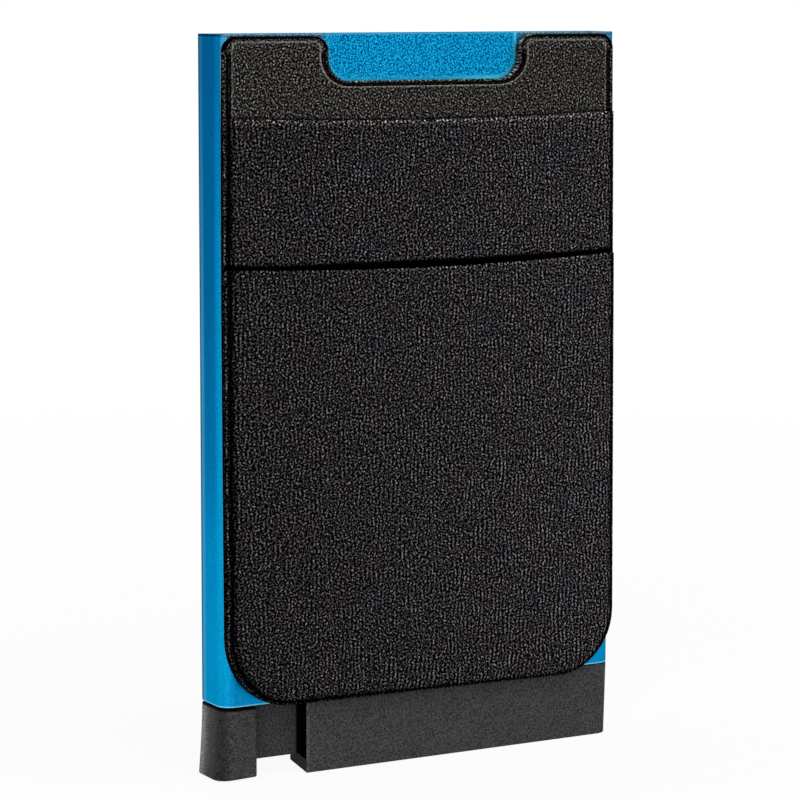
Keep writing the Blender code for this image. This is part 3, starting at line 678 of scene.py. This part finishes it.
def speckle(tree, place, scale, frequency=1.0, upright=0.0):
    """Even specks on an upright face, or wandering upright ribs, around a half."""
    axes = separate(tree, place)
    node = tree.nodes.new("ShaderNodeTexGabor")
    node.gabor_type = "2D"
    node.inputs["Scale"].default_value = scale
    node.inputs["Frequency"].default_value = frequency
    node.inputs["Anisotropy"].default_value = upright
    node.inputs["Orientation"].default_value = 0.0
    tree.links.new(combine(tree, X=axes["X"], Y=axes["Z"]), node.inputs["Vector"])
    return node.outputs["Value"]


def sleeve_places(tree, place):
    """Where a point of the sleeve lies, in the measures that its finishes share."""
    axes = separate(tree, place)
    from_middle = maths(tree, "ABSOLUTE", axes["X"])
    return SimpleNamespace(
        x=axes["X"], y=axes["Y"], z=axes["Z"], from_middle=from_middle,
        beside_notch=maths(tree, "ABSOLUTE", maths(tree, "SUBTRACT", axes["X"], POCKET_MIDDLE / MM)),
        below_top=maths(tree, "SUBTRACT", SLEEVE_TOP_MM, axes["Z"]),
        side=across_ramp(tree, from_middle, [(29.7, 0.0), (31.3, 1.0)]),
        front_wall=depth_ramp(tree, axes["Y"], [(-3.3, 0.0), (-3.6, 1.0)]))


def blasted_grain(tree, place, at):
    """The bead-blasted grain around a half: fine, and coarser high on the front wall."""
    fine = noise(tree, place, 4.2, 1.0, 0.5)
    specks = speckle(tree, place, 2.4)
    near_top = ramp_over(tree, at.below_top, 0.0, 10.0, [(6.0, 1.0), (10.0, 0.0)])
    coarse = times(tree, near_top, maths(tree, "SUBTRACT", 1.0, at.side), at.front_wall)
    strength = maths(tree, "MULTIPLY_ADD", coarse, 0.95, 0.25)
    grain = maths(tree, "MULTIPLY_ADD", maths(tree, "SUBTRACT", fine, 0.5), strength, 0.5)
    return maths(tree, "MULTIPLY_ADD", maths(tree, "SUBTRACT", specks, 0.5), times(tree, coarse, 1.15), grain)


def blue_dye_and_painted_light(tree, place, grain, at):
    """The blue of the anodising, darker or lighter with the grain; painted light makes the sleeve's sides
    darker towards the top, most towards the rear, and tints its front a little apart from them.
    """
    colour = ramp(tree, grain, [(0.26, (0.0004, 0.07, 0.24)), (0.5, (0.002, 0.31, 0.60)),
                                (0.74, (0.012, 0.62, 0.92))])
    broad = noise(tree, place, 0.08, 2.0)
    colour = blend_colour(tree, "MULTIPLY", 0.2, colour, ramp(tree, broad, [(0.3, 0.75), (0.7, 1.0)]))
    # Painted light: the sides are painted darker towards the top, where they reflect a darker surround, most
    # towards the rear.
    rear = height_ramp(tree, at.z, [
        (12, (0.95, 0.95, 0.96)), (19, (1.0, 1.0, 1.0)), (33, (0.86, 0.86, 0.92)),
        (45, (0.6, 0.59, 0.7)), (66, (0.46, 0.46, 0.58)), (96, (0.38, 0.40, 0.54))])
    front = height_ramp(tree, at.z, [
        (12, (0.88, 0.89, 0.90)), (19, (1.0, 1.0, 0.98)), (45, (0.95, 0.94, 0.93)),
        (66, (0.84, 0.82, 0.84)), (96, (0.44, 0.35, 0.43))])
    turning = depth_ramp(tree, at.y, [(-1.6, 0.0), (-3.4, 1.0)])
    painted_light_by_height = blend_colour(tree, "MIX", turning, rear, front)
    # Painted light: the front face gets an even tint apart from the painted gradient on the sides.
    return dim(tree, colour, blend_colour(tree, "MIX", at.side, (1.0, 0.87, 0.97), painted_light_by_height))


def painted_side_glints(tree, colour, at):
    """A painted glint, a pale upright line on the sleeve's sides towards the rear, and a painted dark line of
    shade behind it.
    """
    # Painted glint where the rear rounding catches the light from behind.
    pale = times(tree, depth_ramp(tree, at.y, [(2.1, 0.9), (1.7, 1.0), (0.9, 0.0)]),
                 height_ramp(tree, at.z, [(60, 0.8), (95, 0.3)]), at.side)
    colour = blend_colour(tree, "MIX", pale, colour, (0.09, 0.36, 0.55))
    # Painted shade: a dark line behind the glint, where the side turns away.
    dark = times(tree, depth_ramp(tree, at.y, [(3.6, 0.0), (3.0, 0.75), (2.2, 0.75), (1.85, 0.0)]), at.side)
    return blend_colour(tree, "MIX", dark, colour, (0.02, 0.07, 0.12))


def cut_rims(tree, colour, grain, at):
    """The sleeve's cut ends: a bright line at each rim, partly the bare cut edge and partly a painted
    highlight, and a speckled light grey painted highlight on the top rim where the pocket's tabs come up to
    it.
    """
    high = height_ramp(tree, at.z, [(50, 0.0), (51, 1.0)])
    to_end = maths(tree, "MINIMUM", at.below_top, maths(tree, "SUBTRACT", at.z, SLEEVE_FOOT_MM))
    # Bright line at each rim: partly the bare cut edge, partly a painted highlight.
    line = times(tree, ramp(tree, to_end, [(0.0, 1.0), (0.12, 0.9), (0.22, 0.0)]), 0.8)
    bare_edge_and_highlight = blend_colour(tree, "MIX", high, (0.19, 0.70, 0.92), (0.045, 0.38, 0.62))
    colour = blend_colour(tree, "MIX", line, colour, bare_edge_and_highlight)
    # Painted highlight: speckled light grey on the top rim above the tabs, where the rim catches the light
    # from above.
    tab = across_ramp(tree, at.beside_notch, [(14.75, 0.0), (15.75, 1.0)])
    above_tab = times(tree, tab, high, at.front_wall,
                      ramp(tree, at.below_top, [(0.36, 0.85), (0.45, 0.0)]))
    tab_rim_highlight = dim(tree, ramp(tree, grain, [(0.42, (0.08, 0.15, 0.17)), (0.58, (0.33, 0.43, 0.46))]),
               ramp(tree, at.below_top, [(0.08, 1.0), (0.2, 0.5), (0.38, 0.12)]))
    return blend_colour(tree, "MIX", above_tab, colour, tab_rim_highlight)


def painted_notch_line(tree, colour, at):
    """A painted light line on the sleeve beside the notch's cut edge, where the pocket's dark wall darkens
    the metal's reflection, stronger at the right.
    """
    corner = NOTCH_FLOOR_CORNER / MM
    out = maths(tree, "SUBTRACT", at.beside_notch, NOTCH_HALF / MM - corner)
    down = maths(tree, "SUBTRACT", NOTCH_FLOOR / MM + corner, at.z)
    beyond = combine(tree, X=maths(tree, "MAXIMUM", out, 0.0), Z=maths(tree, "MAXIMUM", down, 0.0))
    reach = length(tree, beyond)
    painted_line = ramp_over(tree, reach, corner, corner - 2.0, [(corner, 0.0), (corner - 0.01, 1.0),
                                                         (corner - 0.2, 0.75), (corner - 0.7, 0.0)])
    to_right = ramp_over(tree, at.x, -10.0, 10.0, [(2.0, 0.3), (10.0, 1.0)])
    painted_line = times(tree, painted_line, to_right, at.front_wall, height_ramp(tree, at.z, [(94, 0.0), (95, 1.0)]))
    return blend_colour(tree, "MIX", painted_line, colour, (0.08, 0.72, 0.95))


def top_corners(tree, colour, at):
    """A glint on the sleeve's front roundings near the top, and the dark rim above its sides."""
    rounding = times(tree, depth_ramp(tree, at.y, [(-3.25, 0.0), (-3.4, 1.0)]),
                     across_ramp(tree, at.from_middle, [(29.75, 0.0), (30.0, 1.0)]))
    glint = times(tree, rounding, height_ramp(tree, at.z, [(90, 0.0), (96, 0.8), (98.5, 0.8), (100, 0.2)]))
    colour = blend_colour(tree, "MIX", glint, colour, (0.12, 0.42, 0.60))
    dark_rim = times(tree, ramp(tree, at.below_top, [(0.2, 1.0), (0.4, 0.0)]), at.side)
    return blend_colour(tree, "MIX", dark_rim, colour, (0.0005, 0.02, 0.075))


def blue_anodised():
    """Bead-blasted aluminium, anodised blue, with finely cut rims; its sides are painted darker high up, and
    it carries painted glints, highlights and dark lines.
    """
    material, tree, shader, place = start_material("blue_anodised_aluminium", 0.45, metallic=1.0)
    shader.inputs["Specular Tint"].default_value = (0.4, 0.62, 0.85, 1.0)
    at = sleeve_places(tree, place)
    grain = blasted_grain(tree, place, at)
    colour = blue_dye_and_painted_light(tree, place, grain, at)
    colour = painted_side_glints(tree, colour, at)
    colour = cut_rims(tree, colour, grain, at)
    colour = painted_notch_line(tree, colour, at)
    colour = top_corners(tree, colour, at)
    tree.links.new(colour, shader.inputs["Base Color"])
    tree.links.new(ramp(tree, grain, [(0.3, 0.38), (0.7, 0.52)]), shader.inputs["Roughness"])
    relief(tree, shader, grain, 0.35, 0.03)
    return material


def moulded_black(name, high, shade=None):
    """Black moulded plastic with a fine spark-eroded texture."""
    material, tree, shader, place = start_material(name, 0.6, specular=0.03)
    fine = noise(tree, place, 4.2, 1.0, 0.5)
    cloud = noise(tree, place, 0.25, 3.0, 0.6)
    colour = ramp(tree, fine, [(0.33, high * 0.25), (0.67, high)])
    colour = blend_colour(tree, "MULTIPLY", 0.4, colour, ramp(tree, cloud, [(0.3, 0.6), (0.7, 1.0)]))
    if shade is not None:
        colour = scale_colour(tree, colour, shade(tree, separate(tree, place)))
    tree.links.new(colour, shader.inputs["Base Color"])
    tree.links.new(ramp(tree, fine, [(0.3, 0.5), (0.7, 0.7)]), shader.inputs["Roughness"])
    relief(tree, shader, fine, 0.5, 0.04)
    return material


def base_shade(tree, axes):
    """Painted shade: near black inside the base's channel and on its cut end, with a painted highlight along
    the left end of its front and a light line at its right end.
    """
    left_end = -18.6
    from_end = maths(tree, "SUBTRACT", axes["X"], left_end)
    outer = ramp_over(tree, maths(tree, "ABSOLUTE", axes["Y"]), 0.0, 10.0, [(3.7, 0.0), (3.85, 1.0)])
    away = ramp_over(tree, from_end, 0.0, 10.0, [(3.0, 0.0), (6.0, 1.0)])
    # Painted highlight along the left end of the front.
    left_end_highlight = ramp_over(tree, from_end, 0.0, 10.0, [(0.0, 0.0), (0.06, 0.5), (0.3, 0.5), (0.5, 0.0)])
    # A light line at the right end of the front.
    right_end_light_line = across_ramp(tree, axes["X"], [(30.85, 0.0), (31.15, 0.7)])
    # Painted shade: near black inside the channel and on the left end, where shade falls.
    body = maths(tree, "MAXIMUM", maths(tree, "MAXIMUM", outer, away), 0.02)
    return maths(tree, "ADD", body, times(tree, maths(tree, "MAXIMUM", left_end_highlight, right_end_light_line), outer))


def lever_shade(tree, axes):
    """Painted light on the lever: a painted sheen at the back of its thumb side, painted shade near black
    where it enters the base, and a painted shadow under the sleeve's edge.
    """
    # Painted sheen on the thumb side, lighter towards the rear.
    thumb_sheen_ramp = depth_ramp(tree, axes["Y"], [(1.6, 0.9), (1.17, 0.62), (0.5, 0.37), (-0.1, 0.28), (-1.4, 0.20),
                                       (-2.6, 0.13), (-3.5, 0.10)])
    thumb_side = ramp_over(tree, axes["X"], 0.0, -50.0, [(-30.0, 0.0), (-31.25, 1.0)])
    # Painted shade where the arm enters the base, and painted shadow under the sleeve's edge.
    entry_shade = ramp_over(tree, axes["X"], -25.0, -15.0, [(-19.1, 1.0), (-18.8, 0.02)])
    under_sleeve_shadow = ramp_over(tree, axes["Z"], 0.0, 20.0, [(9.88, 1.0), (9.98, 0.05)])
    painted_highlight = maths(tree, "MULTIPLY_ADD", thumb_side, maths(tree, "MULTIPLY_ADD", thumb_sheen_ramp, 4.4, -1.0), 1.0)
    return times(tree, painted_highlight, entry_shade, under_sleeve_shadow)


def backing_leather():
    """Brown-black grained leather cloth with a black pressed border that is partly painted groove shade,
    painted highlights on its ridge and on its rim by the notch, and a painted shadow above the middle panel's
    mouth; darker towards the bottom.
    """
    material, tree, shader, place = start_material("backing_leather", 0.9, specular=0.0)
    grain = speckle(tree, place, 2.2)
    colour = ramp(tree, grain, [(0.28, (0.0, 0.0, 0.0)), (0.43, (0.0033, 0.0031, 0.0029)),
                                (0.51, (0.0195, 0.0184, 0.0175)), (0.61, (0.067, 0.0635, 0.060)),
                                (0.80, (0.27, 0.26, 0.247))])
    axes = separate(tree, place)
    edge = read_attribute(tree, "edge_distance")
    across = times(tree, maths(tree, "SUBTRACT", axes["X"], POCKET_MIDDLE / MM), MM / POCKET_HALF)
    by_notch = ramp(tree, maths(tree, "ABSOLUTE", across), [(0.53, 1.0), (0.58, 0.0)])
    at_top = height_ramp(tree, axes["Z"], [(99.5, 0.0), (100, 1.0)])

    # Pressed border: partly the pressed edge's own black, partly painted shade of the groove beside the rim.
    side_border = ramp_over(tree, edge, 0.0, 2.0, [
        (0.0, 0.03), (0.03, 0.9), (0.26, 0.9), (0.31, 0.03), (0.47, 0.03),
        (0.5, 0.3), (0.56, 0.3), (0.6, 0.03), (0.7, 0.03), (0.75, 1.0)])
    top_border = ramp_over(tree, edge, 0.0, 2.0, [(0.3, 0.03), (0.36, 0.9), (0.6, 1.0)])
    pressed = blend_colour(tree, "MIX", at_top, side_border, top_border)
    # Painted highlight on the rim by the notch, where it catches the light from above.
    notch_rim_highlight = times(tree, by_notch, height_ramp(tree, axes["Z"], [(93, 0.0), (94, 1.0)]),
                      ramp_over(tree, edge, 0.0, 2.0, [(0.07, 1.0), (0.12, 0.0)]))
    pressed = blend_colour(tree, "MIX", notch_rim_highlight, pressed, (2.6, 2.6, 2.6))
    colour = dim(tree, colour, pressed)
    # Darker towards the bottom.
    colour = dim(tree, colour, height_ramp(tree, axes["Z"], [(13, 0.1), (24, 1.0)]))

    # Painted highlight on the ridge inside the border, stronger by the notch.
    side_ridge = ramp_over(tree, edge, 0.0, 2.0, [(0.72, 0.0), (0.77, 0.4), (0.88, 0.4), (0.93, 0.0)])
    side_ridge = times(tree, side_ridge, maths(tree, "MULTIPLY_ADD", by_notch, 1.5, 1.0))
    top_ridge = ramp_over(tree, edge, 0.0, 2.0, [(0.6, 0.0), (0.67, 0.75), (0.82, 0.75), (0.92, 0.0)])
    ridge = blend_colour(tree, "MIX", at_top, side_ridge, top_ridge)
    painted_highlight = ramp(tree, grain, [(0.4, (0.06, 0.058, 0.054)), (0.6, (0.23, 0.22, 0.205))])
    colour = blend_colour(tree, "MIX", ridge, colour, painted_highlight)

    # Painted shadow on the leather just above the middle panel's mouth.
    mouth = maths(tree, "MULTIPLY_ADD", times(tree, across, across), MID_SAG / MM, (MID_MOUTH - MID_SAG) / MM)
    above_mouth = maths(tree, "SUBTRACT", axes["Z"], mouth)
    colour = dim(tree, colour, ramp(tree, above_mouth, [(0.0, 0.3), (0.3, 0.35), (0.5, 1.0)]))
    tree.links.new(colour, shader.inputs["Base Color"])
    relief(tree, shader, grain, 0.4, 0.05)
    return material


def elastic_knit():
    """Black elastic knit: fine upright ribs of stitches, with a black pressed border that is partly painted
    shade of the groove beside its rim, and a painted highlight on the outer rim.
    """
    material, tree, shader, place = start_material("elastic_knit", 0.95, specular=0.0)
    axes = separate(tree, place)
    ribs = maths(tree, "SUBTRACT", speckle(tree, place, 0.62, 2.5, 1.0), 0.5)
    stitches = speckle(tree, place, 2.15)
    to_low_right = maths(tree, "MULTIPLY_ADD", axes["Z"], -0.005,
                         maths(tree, "MULTIPLY_ADD", axes["X"], 0.01, 0.5))
    rib_strength = ramp(tree, to_low_right, [(0.25, 0.36), (0.75, 0.62)])
    yarn = maths(tree, "MULTIPLY_ADD", ribs, rib_strength, stitches)
    colour = ramp(tree, yarn, [(0.41, (0.0, 0.0, 0.0)), (0.455, (0.002, 0.0018, 0.002)),
                               (0.50, (0.0102, 0.0093, 0.0102)), (0.62, (0.057, 0.0525, 0.0555)),
                               (0.82, (0.26, 0.245, 0.25))])
    colour = dim(tree, colour, ramp(tree, noise(tree, place, 0.16, 1.0), [
        (0.35, (1.0, 0.95, 0.88)), (0.5, (0.96, 0.95, 0.96)), (0.65, (0.93, 0.94, 1.0))]))

    edge = read_attribute(tree, "edge_distance")
    border_span = 10 / 3
    # Pressed border: partly the pressed edge's own black, partly painted shade of the groove beside the rim.
    pressed = ramp_over(tree, edge, 0.0, border_span, [
        (0.2667, 0.22), (0.4667, 0.2), (0.5333, 0.03), (0.8333, 0.03), (1.0667, 0.35), (1.6667, 1.0)])
    # Painted highlight on the outer rim, where it catches the light, dimmer towards the bottom.
    rim = ramp_over(tree, edge, 0.0, border_span, [(0.2167, 1.0), (0.2667, 0.0)])
    rim_light = times(tree, height_ramp(tree, axes["Z"], [(13, 0.25), (20, 1.0)]), 1.2)
    colour = dim(tree, colour, blend_colour(tree, "MIX", rim, pressed, rim_light))
    # The colour is scaled by the panel's painted light.
    colour = scale_colour(tree, colour, read_attribute(tree, "painted_light"))
    tree.links.new(colour, shader.inputs["Base Color"])
    relief(tree, shader, yarn, 0.4, 0.06)
    return material


def felt():
    """Dark grey pressed felt."""
    material, tree, shader, place = start_material("grey_felt", 0.95, specular=0.1)
    fibres = noise(tree, place, 2.2, 4.0, 0.7, 1.5)
    tree.links.new(ramp(tree, fibres, [(0.3, 0.02), (0.5, 0.055), (0.75, 0.13)]), shader.inputs["Base Color"])
    shader.inputs["Sheen Weight"].default_value = 0.3
    relief(tree, shader, fibres, 0.8, 0.1)
    return material


def plain_film(name, colour, roughness):
    """Thin film, tape or foam with faint mottling."""
    material, tree, shader, place = start_material(name, roughness, specular=0.3)
    mottle = noise(tree, place, 1.2, 3.0, 0.6)
    dark = tuple(part * 0.8 for part in colour)
    tree.links.new(ramp(tree, mottle, [(0.3, dark), (0.7, colour)]), shader.inputs["Base Color"])
    relief(tree, shader, mottle, 0.2, 0.02)
    return material


def pin_steel():
    """Ground steel with fine turning marks."""
    material, tree, shader, place = start_material("pin_steel", 0.3, metallic=1.0)
    marks = noise(tree, place, 4.0, 2.0, 0.5)
    tree.links.new(ramp(tree, marks, [(0.3, 0.42), (0.7, 0.62)]), shader.inputs["Base Color"])
    tree.links.new(ramp(tree, marks, [(0.3, 0.22), (0.7, 0.36)]), shader.inputs["Roughness"])
    relief(tree, shader, marks, 0.2, 0.01)
    return material


def give_material(node, material):
    """Give a CAD node its detailed material."""
    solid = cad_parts[node]
    if not solid.material_slots:
        solid.data.materials.append(material)
    for slot in solid.material_slots:
        slot.material = material


def camera():
    """The camera, where the photograph's perspective puts it."""
    turn, tilt, roll = math.radians(-29.195), math.radians(7.624), math.radians(0.109)
    back = Vector((math.sin(turn) * math.cos(tilt), -math.cos(turn) * math.cos(tilt), math.sin(tilt)))
    level = (-back).cross(Vector((0.0, 0.0, 1.0))).normalized()
    upright = level.cross(-back)
    right = level * math.cos(roll) + upright * math.sin(roll)
    up = upright * math.cos(roll) - level * math.sin(roll)
    data = bpy.data.cameras.new("camera")
    data.sensor_width = 36.0
    data.lens = 141.04
    data.clip_start = 0.01
    data.clip_end = 20.0
    eye = bpy.data.objects.new("camera", data)
    bpy.context.scene.collection.objects.link(eye)
    matrix = Matrix((right, up, back)).transposed().to_4x4()
    matrix.translation = Vector((-0.21452, -0.38098, 0.10914))
    eye.matrix_world = matrix
    bpy.context.scene.camera = eye


def studio_floor():
    """A pale floor that looks white and keeps a soft shadow near the object."""
    deselect_all()
    bpy.ops.mesh.primitive_plane_add(size=4.0, location=(0.0, 0.0, 0.0))
    floor = bpy.context.active_object
    floor.name = "studio_floor"
    material = bpy.data.materials.new("studio_floor")
    material.use_nodes = True
    tree = material.node_tree
    tree.nodes.clear()
    output = tree.nodes.new("ShaderNodeOutputMaterial")
    paint = tree.nodes.new("ShaderNodeBsdfDiffuse")
    paint.inputs["Color"].default_value = (0.9, 0.9, 0.9, 1.0)
    white = tree.nodes.new("ShaderNodeEmission")
    white.inputs["Strength"].default_value = 1.0
    path = tree.nodes.new("ShaderNodeLightPath")
    seen = maths(tree, "MAXIMUM", path.outputs["Is Camera Ray"], path.outputs["Is Glossy Ray"])
    away = length(tree, tree.nodes.new("ShaderNodeTexCoord").outputs["Object"])
    plain = ramp(tree, away, [(0.1, 0.92), (0.4, 1.0)])
    mix = tree.nodes.new("ShaderNodeMixShader")
    tree.links.new(times(tree, seen, plain), mix.inputs["Fac"])
    tree.links.new(paint.outputs["BSDF"], mix.inputs[1])
    tree.links.new(white.outputs["Emission"], mix.inputs[2])
    tree.links.new(mix.outputs["Shader"], output.inputs["Surface"])
    floor.data.materials.append(material)


def white_surround():
    """A white world: full where the camera sees it, less in gloss, and half as light on the object."""
    world = bpy.data.worlds.new("white_surround")
    bpy.context.scene.world = world
    world.use_nodes = True
    tree = world.node_tree
    backdrop = tree.nodes["Background"]
    backdrop.inputs["Color"].default_value = (1.0, 1.0, 1.0, 1.0)
    path = tree.nodes.new("ShaderNodeLightPath")
    in_gloss = times(tree, path.outputs["Is Glossy Ray"], 0.8)
    seen = maths(tree, "MAXIMUM", path.outputs["Is Camera Ray"], in_gloss)
    seen = maths(tree, "MAXIMUM", seen, path.outputs["Is Transmission Ray"])
    tree.links.new(maths(tree, "MAXIMUM", seen, 0.5), backdrop.inputs["Strength"])


def soft_lamp(name, place, aim, width, height, power):
    """A rectangular soft lamp, turned to what it lights."""
    data = bpy.data.lights.new(name, "AREA")
    data.shape = "RECTANGLE"
    data.size, data.size_y = width, height
    data.energy = power
    lamp = bpy.data.objects.new(name, data)
    bpy.context.scene.collection.objects.link(lamp)
    lamp.location = place
    lamp.rotation_euler = (Vector(aim) - Vector(place)).to_track_quat("-Z", "Y").to_euler()


camera()
studio_floor()
white_surround()
soft_lamp("top_lamp", (0.15, -0.35, 0.75), (0.0, 0.0, 0.06), 0.6, 0.4, 2.6)
soft_lamp("side_lamp", (-0.65, 0.15, 0.22), (0.0, 0.0, 0.04), 0.4, 0.4, 0.7)
soft_lamp("front_lamp", (-0.55, -0.65, 0.28), (0.0, 0.0, 0.05), 0.5, 0.5, 2.4)

knit = elastic_knit()
rail_plastic = moulded_black("guide_plastic", 0.06)
felt_grey = felt()
foam = plain_film("adhesive_foam", (0.006, 0.006, 0.007), 0.9)
tape = plain_film("clear_tape", (0.55, 0.55, 0.52), 0.4)
film = plain_film("hot_melt_film", (0.006, 0.006, 0.007), 0.7)

give_material("case_sleeve", blue_anodised())
give_material("base_block", moulded_black("black_base_plastic", 0.085, base_shade))
give_material("ejector_lever", moulded_black("black_lever_plastic", 0.08, lever_shade))
give_material("pivot_pin", pin_steel())
for side in ("left", "right"):
    give_material("guide_rail_" + side, rail_plastic)
    give_material("strip_tape_" + side, tape)
    felt_strip("felt_strip_" + side, "friction_strip_" + side, felt_grey)
for node in ("mid_bond_film", "front_bond_film"):
    give_material(node, film)

adhesive_sheet(foam)
leather_backing(backing_leather())
mid_knit = knit_panel("mid_pocket_knit", MID_MOUTH, MID_SAG, MID_FINE_ROWS, mid_height, mid_painted_light, knit)
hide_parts("pocket_mid_panel")
front_knit = knit_panel("front_pocket_knit", FRONT_MOUTH, FRONT_SAG, FRONT_FINE_ROWS, front_height,
                        front_painted_light, knit)
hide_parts("pocket_front_panel")

bpy.context.scene.view_settings.view_transform = "Standard"
bpy.context.view_layer.update()
